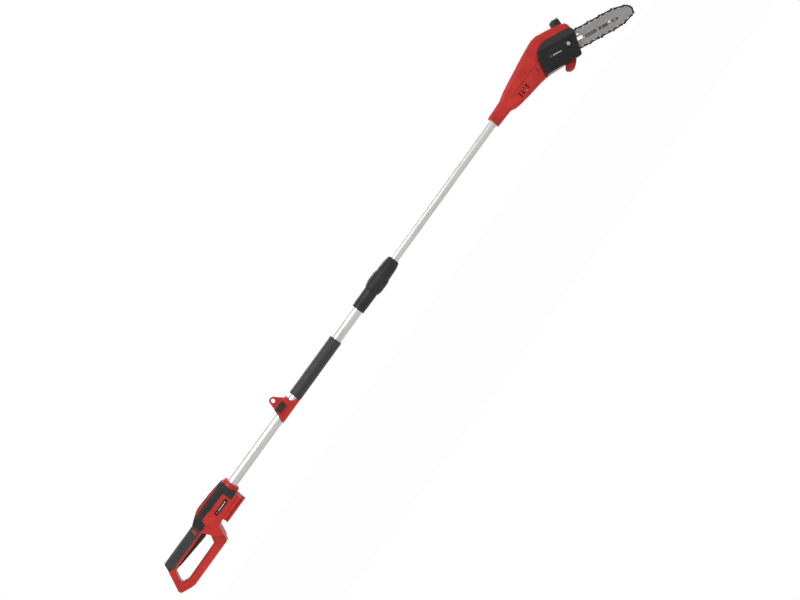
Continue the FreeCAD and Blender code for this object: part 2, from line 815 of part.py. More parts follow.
def lock_parts():
    """The twist lock: a sleeve on the outer tube, a slotted collet and the nut over both."""
    shoulder = "lock_sleeve_rear + lock_sleeve_length"
    tip = shoulder + " + 54.5"
    turned("lock_sleeve",
           [("lock_sleeve_rear", "outer_tube_radius"),
            ("lock_sleeve_rear", "lock_sleeve_radius - 1.6"),
            ("lock_sleeve_rear + 1.5", "lock_sleeve_radius - 0.8"),
            (shoulder + " - 8", "lock_sleeve_radius"), (shoulder, "lock_sleeve_radius"),
            (shoulder, "lock_thread_radius"), (tip, "lock_thread_radius"),
            (tip, "collet_radius"), ("outer_tube_front", "collet_radius"),
            ("outer_tube_front", "outer_tube_radius")])
    body = turned("lock_collet",
                  [("outer_tube_front + 2", "inner_tube_radius + slide_gap"),
                   ("outer_tube_front + 2", "collet_radius"), (tip, "collet_radius"),
                   (tip + " + 1", "collet_radius + 1.6"), (tip + " + 18", "collet_radius - 0.4"),
                   (tip + " + 18", "inner_tube_radius + slide_gap")])
    slot = [(tip + " - 24", "-0.75"), (tip + " + 20", "-0.75"), (tip + " + 20", "0.75"),
            (tip + " - 24", "0.75")]
    first = pocket(body, draw_outline(new_sketch(body), slot), "2 * outer_tube_radius + 6",
                   both=True)
    pattern = body.newObject("PartDesign::PolarPattern", "Slots")
    pattern.Originals = [first]
    axis = [f for f in body.Origin.OriginFeatures if f.Role == "X_Axis"][0]
    pattern.Axis = (axis, [""])
    pattern.Angle = 180
    pattern.Occurrences = 2
    body.Tip = pattern
    nut_rear = shoulder + " + 0.7"
    nut_front = shoulder + " + lock_nut_length"
    turned("lock_nut",
           [(nut_rear, "lock_thread_radius + slide_gap"), (nut_rear, "lock_nut_radius - 3"),
            (nut_rear + " + 4", "lock_nut_radius - 1.2"), (nut_rear + " + 9", "lock_nut_radius"),
            (nut_rear + " + 44", "lock_nut_radius"),
            (nut_rear + " + 48", "lock_nut_radius - 1.8"),
            (nut_rear + " + 52", "lock_nut_radius - 1.8"),
            (nut_front + " - 13", "lock_nut_radius - 3.6"),
            (nut_front + " - 4", "lock_nut_radius - 5.4"),
            (nut_front, "lock_nut_radius - 8.2"),
            (nut_front, "inner_tube_radius + 2 * slide_gap"),
            (nut_front + " - 20", "inner_tube_radius + 2 * slide_gap"),
            (tip + " + 18.5", "collet_radius"), (tip + " + 1", "collet_radius + 2.2"),
            (tip + " + 0.5", "lock_thread_radius + slide_gap")])


# Outline of the strap mount, from its rear foot round the eye to its front foot.
STRAP_BASE = [
    ("0", "-16"), ("1", "-10"), ("12.5", "19"), ("15", "24"), ("42", "24"), ("51", "18.6"),
    ("57", "18.6"), ("57", "16.2"), ("54.5", "11"), ("59", "-4"), ("65", "-9"),
    ("strap_length", "-11"), ("strap_length", "-16"),
]
STRAP_PLATE = [
    ("12.5", "19"), ("18.6", "strap_eye_height"), ("20.5", "strap_eye_height + 6.6"),
    ("25.5", "strap_eye_height + 9.4"), ("31.5", "strap_eye_height + 9.4"),
    ("36.5", "strap_eye_height + 6.6"), ("45", "29"), ("53", "18.6"),
]
STRAP_EYE_ALONG = "28.5"


def strap_half(label, side):
    """One half of the strap mount; side is -1 for the right half and +1 for the left."""
    left = side > 0
    body = new_body(label, x="strap_rear", y="%d * strap_split" % side)
    plate_sketch = draw_outline(new_sketch(body), STRAP_PLATE)
    pad(body, plate_sketch, "strap_plate_half - strap_split", reverse=left)
    soften(body, "2.5", across_at(*STRAP_PLATE[2:6]))
    pad(body, draw_outline(new_sketch(body), STRAP_BASE), "strap_half_width - strap_split",
        reverse=left)
    soften(body, "1.1", on_plane("Y", "%d * (strap_half_width - strap_split)" % side))
    bore = draw_circle(new_sketch(body, "YZ_Plane", x="%d * -strap_split" % side), "0", "0",
                       "outer_tube_radius + slide_gap")
    pocket(body, bore)
    holes = draw_circle(new_sketch(body), STRAP_EYE_ALONG, "strap_eye_height",
                        "strap_eye_radius")
    draw_circle(holes, STRAP_EYE_ALONG, "strap_bolt_height", "strap_bolt_radius")
    pocket(body, holes)


def strap_mount():
    strap_half("strap_bracket_right", -1)
    strap_half("strap_bracket_left", 1)
    bolt_x = "strap_rear + " + STRAP_EYE_ALONG
    bolt_y = "strap_half_width + 4"
    head = doc.addObject("Part::Prism", "BoltHead")
    head.Polygon = 6
    bind(head, Circumradius="1.9 * strap_bolt_radius", Height="4")
    place(head, bolt_x, bolt_y, "strap_bolt_height", **TOWARDS_RIGHT)
    rod = cylinder("strap_bolt_radius", "2 * strap_half_width + 11", bolt_x, bolt_y,
                   "strap_bolt_height", **TOWARDS_RIGHT)
    piece(fused([head, rod], "StrapBolt"), "strap_bolt")
    knob = new_body("strap_knob", x=bolt_x, y="-strap_half_width - slide_gap")
    lever = [("-13.5", "5"), ("13.5", "5"), ("13.5", "20.5"), ("-13.5", "20.5")]
    pad(knob, draw_outline(new_sketch(knob), lever), "strap_knob_depth")
    soften(knob, "4", across_at(*lever))
    soften(knob, "2", on_plane("Y", "-strap_knob_depth"))
    hole = draw_circle(new_sketch(knob), "0", "strap_bolt_height",
                       "strap_bolt_radius + running_gap")
    pocket(knob, hole, "8", reverse=True)


def pole_leads():
    turned("coil_cable", tube_section("coil_rear", "inner_tube_rear - 4", "coil_radius",
                                      "coil_radius - 3.5"))
    piece(cylinder("lead_radius", "head_rear + 92 - inner_tube_rear + 3", "inner_tube_rear - 3",
                   "0", "0", **ALONG_POLE), "head_cable")


# ---------------------------------------------------------------- head housing

# Cross-sections of the head along its length, from its rear face: distance, top, bottom,
# half width and corner radius.
HEAD_SECTIONS = [
    ("0", "16.5", "-16.5", "neck_half_width - 0.7", "9"),
    ("50", "18.5", "-18.5", "neck_half_width", "9.5"),
    ("63", "22.5", "-25.5", "neck_half_width + 2.6", "9.5"),
    ("80", "26", "-29.6", "neck_half_width + 5", "10"),
    ("110", "30.5", "-34", "head_half_width - 2.4", "11"),
    ("150", "36.3", "-38.8", "head_half_width", "12"),
    ("180", "40.3", "-44.5", "head_half_width", "12"),
    ("205", "43", "-54.6", "head_half_width", "12"),
    ("218", "43.6", "-59.9", "head_half_width", "12"),
    ("233", "41", "-66", "head_half_width", "12"),
    ("254", "30.8", "-74.5", "head_half_width", "12"),
    ("262", "26.9", "-71", "head_half_width", "12"),
    ("270", "22.8", "-62", "head_half_width", "12"),
    ("282", "15.6", "-46", "head_half_width", "11"),
    ("289", "11.4", "-37", "head_half_width", "10"),
    ("296", "6.3", "-26", "head_half_width - 0.5", "9"),
    ("300.5", "2.3", "-19", "head_half_width - 1.5", "7"),
    ("302.5", "-0.5", "-13", "head_half_width - 4", "5"),
]
NECK_BAY = [
    ("72", "-21"), ("72", "18"), ("112", "25"), ("112", "-28"),
]
REAR_BAY = [
    ("111.9", "-28"), ("111.9", "25"), ("160", "32"), ("172", "34"), ("172", "-35"),
]
FRONT_BAY = [
    ("171.9", "-36"), ("171.9", "34"), ("205", "38"), ("218", "38.4"), ("230", "36"),
    ("262", "20"), ("288", "5"), ("294", "-4"), ("284", "-36"), ("262", "-62"), ("251", "-67"),
]
VENTS = [92.0, 101.0, 110.0, 119.0]
HEAD_SCREWS = [("56", "-13.5"), ("56", "13.5"), ("167", "34"), ("296", "-11"), ("166", "-36.5")]
# The filler's opening: radius and height square to the bar.
FILLER_MOUTH = [
    ("0", "40"), ("filler_radius + slide_gap", "40"),
    ("filler_radius + slide_gap", "cap_foot - 0.5"), ("cap_radius + 0.7", "cap_foot - 0.5"),
    ("cap_radius + 0.7", "70"), ("0", "70"),
]
# Where the chain cover beds into the right shell, in the bar's frame.
COVER_BED = [
    ("20", "cover_top + cover_gap"), ("20", "-70"), ("-cover_rear - cover_gap - 3", "-70"),
    ("-cover_rear - cover_gap - 2", "-40"),
]
# The bed's rear corner, round the cover's own: straight steps just outside its arc.
BED_CORNER = "(cover_corner + 0.3 + cover_gap)"
COVER_BED += [("cover_corner - cover_rear - 0.3 - %s * cos(%d)" % (BED_CORNER, turn),
               "cover_top - cover_corner + %s * sin(%d)" % (BED_CORNER, turn))
              for turn in range(0, 91, 10)]


def head_shell(label, side):
    """Half of the head's housing; side is -1 for the right half and +1 for the left."""
    left = side > 0
    body = new_body(label, x="head_rear")
    sections = []
    for along, top, bottom, half_width, radius in HEAD_SECTIONS:
        section = new_sketch(body, "YZ_Plane", out=along)
        sections.append(draw_rounded(section, half_width, bottom, top, radius))
    loft = body.newObject("PartDesign::AdditiveLoft", "Housing")
    loft.Profile = sections[0]
    loft.Sections = sections[1:]
    loft.Ruled = True
    body.Tip = loft
    other_half = [("-10", "-100"), ("320", "-100"), ("320", "60"), ("-10", "60")]
    pocket(body, draw_outline(new_sketch(body), other_half), "2 * head_half_width", reverse=left)
    hollow_head(body, left)
    if not left:
        bed_cover(body)
    return body


def hollow_head(body, left):
    inward = not left
    pocket(body, draw_outline(new_sketch(body), NECK_BAY), "neck_half_width", reverse=inward)
    pocket(body, draw_outline(new_sketch(body), REAR_BAY), "head_half_width - 6", reverse=inward)
    depth = "head_half_width - 4" if left else "bar_seat_depth - 3"
    pocket(body, draw_outline(new_sketch(body), FRONT_BAY), depth, reverse=inward)
    socket = draw_circle(new_sketch(body, "YZ_Plane"), "0", "0", "inner_tube_radius")
    pocket(body, socket, "tube_socket_depth", reverse=True)
    lead = draw_circle(new_sketch(body, "YZ_Plane"), "0", "0", "lead_radius + 1")
    pocket(body, lead, "75", reverse=True)
    vents = new_sketch(body)
    for along in VENTS:
        corners = [(along, -8), (along + 3, -8), (along + 2, -22), (along - 1, -22)]
        draw_outline(vents, [(str(x), str(z)) for x, z in corners])
    pocket(body, vents, "head_half_width + 5", reverse=inward)
    holes = new_sketch(body)
    for x, z in HEAD_SCREWS:
        draw_circle(holes, x, z, "screw_radius")
    pocket(body, holes, "9", reverse=inward)
    if left:
        heads = new_sketch(body, out="-9")
        for x, z in HEAD_SCREWS:
            draw_circle(heads, x, z, "screw_head_radius")
        pocket(body, heads, "40")
    mouth = new_sketch(body, x="bar_origin_along - cap_back * cos(bar_tilt)",
                       up="-bar_origin_drop + cap_back * sin(bar_tilt)", turn="-bar_tilt")
    draw_outline(mouth, FILLER_MOUTH)
    revolve(body, mouth, cut=True, axis="V_Axis")


def bed_cover(body):
    """Recess the right shell for the chain cover, and open it for the output shaft."""
    bed = new_sketch(body, out="bar_seat_depth", x="bar_origin_along", up="-bar_origin_drop",
                     turn="-bar_tilt")
    pocket(body, draw_outline(bed, COVER_BED), "head_half_width", reverse=True)
    opening = new_sketch(body, x="bar_origin_along", up="-bar_origin_drop", turn="-bar_tilt")
    draw_circle(opening, "-sprocket_back", "0", "11")
    draw_circle(opening, "-stud_back", "0", "stud_radius")
    pocket(body, opening, "head_half_width", reverse=True)


# ---------------------------------------------------------------- motor and gears

# The bevel gears' common point: on the output shaft's axis, in the tool's middle plane.
APEX_X = bar_x("-sprocket_back")
APEX_Z = bar_z("-sprocket_back")


def on_motor_axis(distance):
    """Where-words for a piece whose own X axis is the motor's, measured back from the apex."""
    return dict(x=APEX_X + " - (%s) * cos(motor_tilt)" % distance, y="0",
                z=APEX_Z + " + (%s) * sin(motor_tilt)" % distance,
                axis=(0, 1, 0), angle="motor_tilt")


def bevel_wheel(teeth, mate, module, face, bore, hub_length, first_tooth):
    """A straight bevel gear about Z, its cone's point at the origin and its back above it."""
    back = module * mate / 2
    pitch_radius = module * teeth / 2
    slope = math.hypot(back, pitch_radius)
    lean = back / slope
    inner_scale = (slope - face) / slope
    root = pitch_radius - 1.15 * module / lean
    tip = pitch_radius + 0.75 * module / lean
    pitch_angle = 2 * math.pi / teeth

    def tooth_wire(scale, turn):
        flank = [(root - 0.3, 0.34), (pitch_radius, 0.205), (tip, 0.1)]
        outline = [(r, -k) for r, k in flank] + [(r, k) for r, k in reversed(flank)]
        corners = [Vector(scale * r * math.cos(turn + k * pitch_angle),
                          scale * r * math.sin(turn + k * pitch_angle), scale * back)
                   for r, k in outline]
        return Part.makePolygon(corners + corners[:1])

    blank = Part.makeCone(inner_scale * root, root, back * (1 - inner_scale),
                          Vector(0, 0, inner_scale * back))
    solid = blank.fuse(Part.makeCylinder(root, hub_length, Vector(0, 0, back)))
    for i in range(teeth):
        turn = first_tooth + i * pitch_angle
        tooth = Part.makeLoft([tooth_wire(inner_scale, turn), tooth_wire(1, turn)], True, True)
        solid = solid.fuse(tooth)
    solid = solid.cut(Part.makeCylinder(bore, 4 * back, Vector(0, 0, -back)))
    return solid.removeSplitter()


def gears():
    """The motor's pinion and the crown gear on the output shaft, in mesh."""
    module, face = number("gear_module"), number("gear_face")
    small, large = int(number("pinion_teeth")), int(number("crown_teeth"))
    pinion = bevel_wheel(small, large, module, face, number("motor_shaft_radius"), 4, 0)
    to_rear = Rotation(Vector(1, 0, 0), -90).multiply(Rotation(Vector(0, 1, 0), -90))
    shape_piece("motor_pinion", faced(pinion, to_rear), **on_motor_axis("0"))
    crown = bevel_wheel(large, small, module, face, number("output_shaft_radius"), 3,
                        math.pi / large)
    to_left = Rotation(Vector(1, 0, 0), -90).multiply(Rotation(Vector(0, 0, 1), 180))
    shape_piece("bevel_gear", faced(crown, to_left), **on_motor_axis("0"))


def motor():
    """The in-line motor: can, rotor, bearings and cooling fan."""
    rear = "motor_gap + motor_length"
    wall = "motor_radius - 2"
    turned("motor_can",
           [("0", "motor_shaft_radius + 4.5"), ("0", "motor_radius"),
            ("motor_length", "motor_radius"), ("motor_length", "motor_shaft_radius + 4.5"),
            ("motor_length - 2", "motor_shaft_radius + 4.5"), ("motor_length - 2", wall),
            ("2", wall), ("2", "motor_shaft_radius + 4.5")], **on_motor_axis(rear))
    turned("motor_rotor",
           [("-14", "0"), ("-14", "motor_shaft_radius"), ("8", "motor_shaft_radius"),
            ("8", "motor_radius - 9"), ("13", "motor_radius - 9"), ("13", "motor_radius - 4"),
            ("motor_length - 8", "motor_radius - 4"),
            ("motor_length - 8", "motor_shaft_radius"),
            ("motor_length + motor_gap - gear_module * pinion_teeth + 4",
             "motor_shaft_radius"),
            ("motor_length + motor_gap - gear_module * pinion_teeth + 4", "0")],
           **on_motor_axis(rear))
    rings = []
    for station in ("-0", "motor_length - 2"):
        ring = cut(cylinder("motor_shaft_radius + 4.5", "2", **spot_on_motor(rear, station)),
                   cylinder("motor_shaft_radius + running_gap", "2",
                            **spot_on_motor(rear, station)))
        rings.append(ring)
    grouped("motor_bearings", rings)
    fan = turned("motor_fan",
                 [("0", "motor_shaft_radius"), ("0", "motor_shaft_radius + 3"),
                  ("4", "motor_shaft_radius + 3"), ("4", "motor_radius - 4"),
                  ("6", "motor_radius - 4"), ("6", "motor_shaft_radius")],
                 **on_motor_axis(rear + " + 10"))
    blade = [("0.2", "motor_shaft_radius + 2.5"), ("4.5", "motor_shaft_radius + 2.5"),
             ("4.5", "motor_radius - 4.2"), ("0.2", "motor_radius - 6")]
    first = pad(fan, draw_outline(new_sketch(fan), blade), "1", both=True)
    pattern = fan.newObject("PartDesign::PolarPattern", "Blades")
    pattern.Originals = [first]
    axis = [f for f in fan.Origin.OriginFeatures if f.Role == "X_Axis"][0]
    pattern.Axis = (axis, [""])
    pattern.Angle = 360
    pattern.Occurrences = 9
    fan.Tip = pattern


def spot_on_motor(rear, station):
    """Where-words for a cylinder along the motor's axis, a distance forward of its rear."""
    words = on_motor_axis("%s - (%s)" % (rear, station))
    words["angle"] = "90 + motor_tilt"
    return words


def output_train():
    """The cross shaft with its bearings and gearbox, and the sprocket at its right end."""
    end = "bar_plane + 8"
    turned("output_shaft",
           [("-19", "0"), ("-19", "output_shaft_radius"),
            (end + " - 3", "output_shaft_radius"), (end + " - 3", "output_shaft_radius - 1"),
            (end + " - 2", "output_shaft_radius - 1"), (end + " - 2", "output_shaft_radius"),
            (end, "output_shaft_radius - 0.5"), (end, "0")],
           x=APEX_X, z=APEX_Z, axis=(0, 0, 1), angle="-90")
    rings = []
    for y in ("18.5", "-bar_seat_depth + 5.4"):
        spot = dict(x=APEX_X, y=y, z=APEX_Z, axis=(1, 0, 0), angle="90")
        rings.append(cut(cylinder("output_shaft_radius + 4.5", "4.5", **spot),
                         cylinder("output_shaft_radius + running_gap", "4.5", **spot)))
    grouped("output_bearings", rings)
    box_body = turned(
        "gearbox_housing",
        [("-21", "0"), ("-21", "gearbox_radius"), ("bar_seat_depth - 3.2", "gearbox_radius"),
         ("bar_seat_depth - 3.2", "output_shaft_radius + 5.9"),
         ("bar_seat_depth", "output_shaft_radius + 5.9"),
         ("bar_seat_depth", "output_shaft_radius + 1"),
         ("bar_seat_depth - 0.9", "output_shaft_radius + 1"),
         ("bar_seat_depth - 0.9", "output_shaft_radius + 4.5"),
         ("bar_seat_depth - 6.5", "output_shaft_radius + 4.5"),
         ("bar_seat_depth - 6.5", "gearbox_radius - 3"), ("-14", "gearbox_radius - 3"),
         ("-14", "output_shaft_radius + 4.5"), ("-19.5", "output_shaft_radius + 4.5"),
         ("-19.5", "0")],
        x=APEX_X, z=APEX_Z, axis=(0, 0, 1), angle="-90")
    mouth = draw_circle(new_sketch(box_body, out="9"), "0", "13.2 * sin(motor_tilt)", "7.9")
    pocket(box_body, mouth, "gearbox_radius - 4", reverse=True)

def sprocket():
    """The drive sprocket between the chain's tangs, and the clip that keeps it on."""
    teeth = int(number("sprocket_teeth"))
    pitch_radius = number("sprocket_teeth * chain_pitch / pi")
    step = 2 * math.pi / teeth
    root = pitch_radius - number("tang_drop") - 0.7
    tip = pitch_radius - number("strap_rise") - 0.75
    outline = []
    for i in range(teeth):
        middle = math.pi - 0.75 * step + i * step
        for radius, share in ((root, -0.26), (tip, -0.16), (tip, 0.16), (root, 0.26)):
            angle = middle + share * step
            outline.append((radius * math.cos(angle), radius * math.sin(angle)))
    half = number("bar_groove_width") / 2 + number("link_thickness")
    star = plate(outline, -half - 1, half + 1)
    bore = Part.makeCylinder(number("output_shaft_radius"), 20, Vector(0, -10, 0),
                             Vector(0, 1, 0))
    star = star.cut(bore)
    shape_piece("drive_sprocket", star, **in_bar_frame("-sprocket_back", "0", "-bar_plane"))
    turned("sprocket_clip",
           [("0", "output_shaft_radius - 1"), ("0", "output_shaft_radius + 3"),
            ("0.9", "output_shaft_radius + 3"), ("0.9", "output_shaft_radius - 1")],
           x=APEX_X, y="-bar_plane - 5.05", z=APEX_Z, axis=(0, 0, 1), angle="-90")


# ---------------------------------------------------------------- guide bar and chain

def bar_outline(sketch, inset):
    """The bar's edge, moved in by an inset: flat sides, a long taper and a round nose."""
    half = "(bar_half_width - (%s))" % inset
    nose = "(bar_nose_radius - (%s))" % inset
    reach = "(bar_nose_centre - bar_taper_start)"
    gap = "(bar_half_width - bar_nose_radius)"
    sweep = "((%s ^ 2 + bar_half_width ^ 2 - bar_nose_radius ^ 2) / (2 * %s))" % (reach, gap)
    tail = "(-bar_tail + (%s))" % inset
    sides = [(tail, "-%s + 7" % half, tail, "%s - 7" % half),
             (tail, "%s - 7" % half, "%s + 9" % tail, half),
             ("%s + 9" % tail, half, "bar_taper_start", half),
             ("%s + 9" % tail, "-" + half, tail, "-%s + 7" % half),
             ("bar_taper_start", "-" + half, "%s + 9" % tail, "-" + half)]
    for x1, y1, x2, y2 in sides:
        ends = Vector(number(x1), number(y1), 0), Vector(number(x2), number(y2), 0)
        line = sketch.addGeometry(Part.LineSegment(*ends))
        fix_point(sketch, line, 1, x1, y1)
        fix_point(sketch, line, 2, x2, y2)
    radius = number(sweep) - number(inset)
    drop = number(sweep) - number("bar_half_width")
    lean = math.atan2(number(reach), drop)
    start = number("bar_taper_start")
    for turn in (1, -1):
        circle = Part.Circle(Vector(start, -turn * drop, 0), Vector(0, 0, 1), radius)
        first, last = sorted((turn * math.pi / 2, turn * (math.pi / 2 - lean)))
        arc = sketch.addGeometry(Part.ArcOfCircle(circle, first, last))
        fix_point(sketch, arc, 3, "bar_taper_start",
                  "%d * (%s - bar_half_width)" % (-turn, sweep))
        fix_point(sketch, arc, 2 if turn > 0 else 1, "bar_taper_start",
                  "%d * %s" % (turn, half))
        meet = "bar_nose_centre + %s * %s / (%s - bar_nose_radius)" % (nose, reach, sweep)
        end = sketch.addConstraint(Sketcher.Constraint("DistanceX", -1, 1, arc,
                                                       1 if turn > 0 else 2, number(meet)))
        sketch.setExpression("Constraints[%d]" % end, linked(meet))
    centre = Vector(number("bar_nose_centre"), 0, 0)
    circle = Part.Circle(centre, Vector(0, 0, 1), number(nose))
    reach_angle = math.pi / 2 - lean
    tip = sketch.addGeometry(Part.ArcOfCircle(circle, -reach_angle, reach_angle))
    sketch.addConstraint(Sketcher.Constraint("Coincident", tip, 2, tip - 2, 1))
    sketch.addConstraint(Sketcher.Constraint("Coincident", tip, 1, tip - 1, 2))
    bend = sketch.addConstraint(Sketcher.Constraint("Radius", tip, number(nose)))
    sketch.setExpression("Constraints[%d]" % bend, linked(nose))
    return sketch


def guide_bar():
    bar = new_body("guide_bar", **in_bar_frame(y="-bar_plane"))
    pad(bar, bar_outline(new_sketch(bar), "0"), "bar_thickness", both=True)
    soften(bar, "0.5", bar_rim(), "PartDesign::Chamfer")
    groove = new_sketch(bar)
    bar_outline(groove, "-2")
    bar_outline(groove, "bar_groove_depth")
    pocket(bar, groove, "bar_groove_width", both=True)
    holes = new_sketch(bar)
    half = "bar_slot_width / 2"
    draw_outline(holes, [("-48", "-" + half), ("10", "-" + half), ("10", half), ("-48", half)])
    draw_circle(holes, "1", "10.5", "2.75")
    draw_circle(holes, "-15", "-11.5", "2.6")
    draw_circle(holes, "-15", "11.5", "2.6")
    draw_circle(holes, "85", "0", "2.5")
    pocket(bar, holes)
    nose_bay = draw_circle(new_sketch(bar), "bar_nose_centre - 4", "0", "9.6")
    pocket(bar, nose_bay, "bar_groove_width", both=True)
    axle = draw_circle(new_sketch(bar), "bar_nose_centre - 4", "0", "3")
    pad(bar, axle, "bar_thickness", both=True)
    for along, up, turn in NOSE_MARKS:
        mark = new_sketch(bar, out="bar_thickness / 2", x=along, up=up, turn=turn)
        draw_outline(mark, [("-6.5", "-0.8"), ("6.5", "-0.8"), ("6.5", "0.8"), ("-6.5", "0.8")])
        pocket(bar, mark, "0.6")
    wheel = turned("nose_sprocket",
                   [("-0.6", "3 + running_gap"), ("-0.6", "8"), ("0.6", "8"),
                    ("0.6", "3 + running_gap")],
                   **dict(in_bar_frame("bar_nose_centre - 4", "0", "-bar_plane"),
                          axis=(0, 0, 1), angle="-90"))
    notch = draw_circle(new_sketch(wheel, "YZ_Plane"), "9", "0", "2")
    first = pocket(wheel, notch, "4", both=True)
    pattern = wheel.newObject("PartDesign::PolarPattern", "Notches")
    pattern.Originals = [first]
    axis = [f for f in wheel.Origin.OriginFeatures if f.Role == "X_Axis"][0]
    pattern.Axis = (axis, [""])
    pattern.Angle = 360
    pattern.Occurrences = 9
    wheel.Tip = pattern


# Recessed marks round the bar's nose: along, up and turn.
NOSE_MARKS = [("116", "13.4", "-12"), ("118", "-12.6", "13"), ("130", "-8.5", "25")]


def bar_rim():
    """Chooses the outline edges of both faces of the bar."""
    half = number("bar_thickness / 2")

    def choose(edge):
        box = edge.BoundBox
        return box.YLength < 0.01 and abs(abs(box.YMin) - half) < 0.01
    return choose


def chain_path():
    """The rivets' centres round the sprocket and bar, evenly spaced, in the bar's frame."""
    wheel = number("sprocket_teeth * chain_pitch / pi")
    back = -number("sprocket_back")
    line = number("bar_half_width + rivet_line")
    nose = number("bar_nose_radius + rivet_line")
    start, centre = number("bar_taper_start"), number("bar_nose_centre")
    flat, round_nose = number("bar_half_width"), number("bar_nose_radius")
    sweep = ((centre - start) ** 2 + flat ** 2 - round_nose ** 2) / (2 * (flat - round_nose))
    taper = sweep + number("rivet_line")
    lean = math.atan2(centre - start, sweep - flat)
    shoulder = (-number("bar_tail") + 9, line)
    far = math.hypot(shoulder[0] - back, shoulder[1])
    leave = math.atan2(shoulder[1], shoulder[0] - back) + math.acos(wheel / far)
    tangent = (back + wheel * math.cos(leave), wheel * math.sin(leave))
    run = math.hypot(shoulder[0] - tangent[0], shoulder[1] - tangent[1])
    lengths = [wheel * (math.pi - leave), run, start - shoulder[0], taper * lean,
               nose * (math.pi / 2 - lean)]
    total = 2 * sum(lengths)
    count = 2 * round(total / number("chain_pitch") / 2)
    step = total / count

    def upper(distance):
        if distance < lengths[0]:
            angle = math.pi - distance / wheel
            return back + wheel * math.cos(angle), wheel * math.sin(angle)
        distance -= lengths[0]
        if distance < run:
            share = distance / run
            return (tangent[0] + share * (shoulder[0] - tangent[0]),
                    tangent[1] + share * (shoulder[1] - tangent[1]))
        distance -= run
        if distance < lengths[2]:
            return shoulder[0] + distance, line
        distance -= lengths[2]
        if distance < lengths[3]:
            angle = math.pi / 2 - distance / taper
            return start + taper * math.cos(angle), flat - sweep + taper * math.sin(angle)
        angle = math.pi / 2 - lean - (distance - lengths[3]) / nose
        return centre + nose * math.cos(angle), nose * math.sin(angle)

    rivets = []
    for i in range(count):
        distance = i * step
        if distance <= total / 2:
            rivets.append(upper(distance))
        else:
            x, y = upper(total - distance)
            rivets.append((x, -y))
    print("chain: %d rivets, %.3f mm apart" % (count, step))
    return rivets


def link_plate(a, b, outline, low_y, high_y, rivet):
    """A link between two rivets: its outline runs along the link and outward from it."""
    length = math.hypot(b[0] - a[0], b[1] - a[1])
    along = ((b[0] - a[0]) / length, (b[1] - a[1]) / length)
    outward = (-along[1], along[0])
    points = [(a[0] + p * length * along[0] + q * outward[0],
               a[1] + p * length * along[1] + q * outward[1]) for p, q in outline]
    solid = plate(points, low_y, high_y)
    for x, z in (a, b):
        hole = Part.makeCylinder(rivet, high_y - low_y + 2, Vector(x, low_y - 1, z),
                                 Vector(0, 1, 0))
        solid = solid.cut(hole)
    return solid


def saw_chain():
    """Tanged drive links alternate with pairs of side plates; every other pair has a cutter."""
    rivets = chain_path()
    rise, tang, top = number("strap_rise"), number("tang_drop"), number("cutter_rise")
    half = number("bar_groove_width") / 2 - 0.05
    side = half + 0.05 + number("link_thickness")
    pin = 1.1
    foot, waist = -0.9 * rise, -0.6 * rise
    strap = [(-0.2, waist), (-0.06, foot), (0.06, foot), (0.2, waist), (0.8, waist),
             (0.94, foot), (1.06, foot), (1.2, waist),
             (1.2, rise * 0.55), (1.05, rise), (-0.05, rise), (-0.2, rise * 0.55)]
    drive = [(-0.2, -rise * 0.5), (0.12, -rise), (0.3, -tang * 0.86), (0.42, -tang),
             (0.62, -tang), (0.78, -tang * 0.75), (0.9, -rise), (1.2, -rise * 0.5),
             (1.2, rise * 0.55), (1.02, rise), (-0.02, rise), (-0.2, rise * 0.55)]
    cutter = [(-0.25, waist), (-0.06, foot), (0.06, foot), (0.2, waist), (0.8, waist),
              (0.94, foot), (1.06, foot), (1.28, waist * 0.5),
              (1.38, top * 0.62), (1.22, top * 0.8), (1.02, top * 0.7), (0.88, rise * 0.8),
              (0.6, rise * 0.75), (0.42, top), (-0.12, top * 0.86), (-0.34, rise)]
    roof = [(0.46, top), (-0.14, top * 0.86), (-0.14, top * 0.7), (0.44, top * 0.84)]
    links, cutters, straps = [], [], []
    count = len(rivets)
    for i in range(0, count, 2):
        a, b, c = rivets[i], rivets[(i + 1) % count], rivets[(i + 2) % count]
        links.append(link_plate(a, b, drive, -half, half, pin))
        pair = (i // 2) % 4
        faces = [(-side, -half - 0.05), (half + 0.05, side)]
        has_cutter = pair % 2 == 0 and i < count - 2
        for index, (low, high) in enumerate(faces):
            if has_cutter and index == pair // 2:
                body = link_plate(b, c, cutter, low, high, pin)
                inward = (low, low + 3.1) if index == 0 else (high - 3.1, high)
                cutters.append(body.fuse(link_plate(b, c, roof, *inward, 0.01)))
            else:
                straps.append(link_plate(b, c, strap, low, high, pin))
    pins = [Part.makeCylinder(pin, 2 * side + 0.3, Vector(x, -side - 0.15, z), Vector(0, 1, 0))
            for x, z in rivets]
    where = in_bar_frame(y="-bar_plane")
    shape_piece("chain_drive_links", Part.makeCompound(links), **where)
    shape_piece("chain_cutters", Part.makeCompound(cutters), **where)
    shape_piece("chain_tie_straps", Part.makeCompound(straps), **where)
    shape_piece("chain_rivets", Part.makeCompound(pins), **where)


# ---------------------------------------------------------------- chain cover and tensioner

# In the bar's frame, with Y measured from the head's seat face.
COVER_OUTLINE = [
    ("1 - cover_rear", "cover_top"), ("-8", "cover_top"), ("-3.5", "24"), ("-12.5", "-22"),
    ("-15", "-cover_bottom"), ("-cover_rear - 2", "-cover_bottom - 2.5"),
]
COVER_BEVEL_FACE = [
    ("-cover_depth - 1", "15.9"), ("-cover_depth - 1", "cover_top + 5"),
    ("14.1 - cover_depth", "cover_top + 5"),
]
COVER_WELL = "bar_plane + bar_thickness / 2 - bar_seat_depth - cover_gap + 0.1"


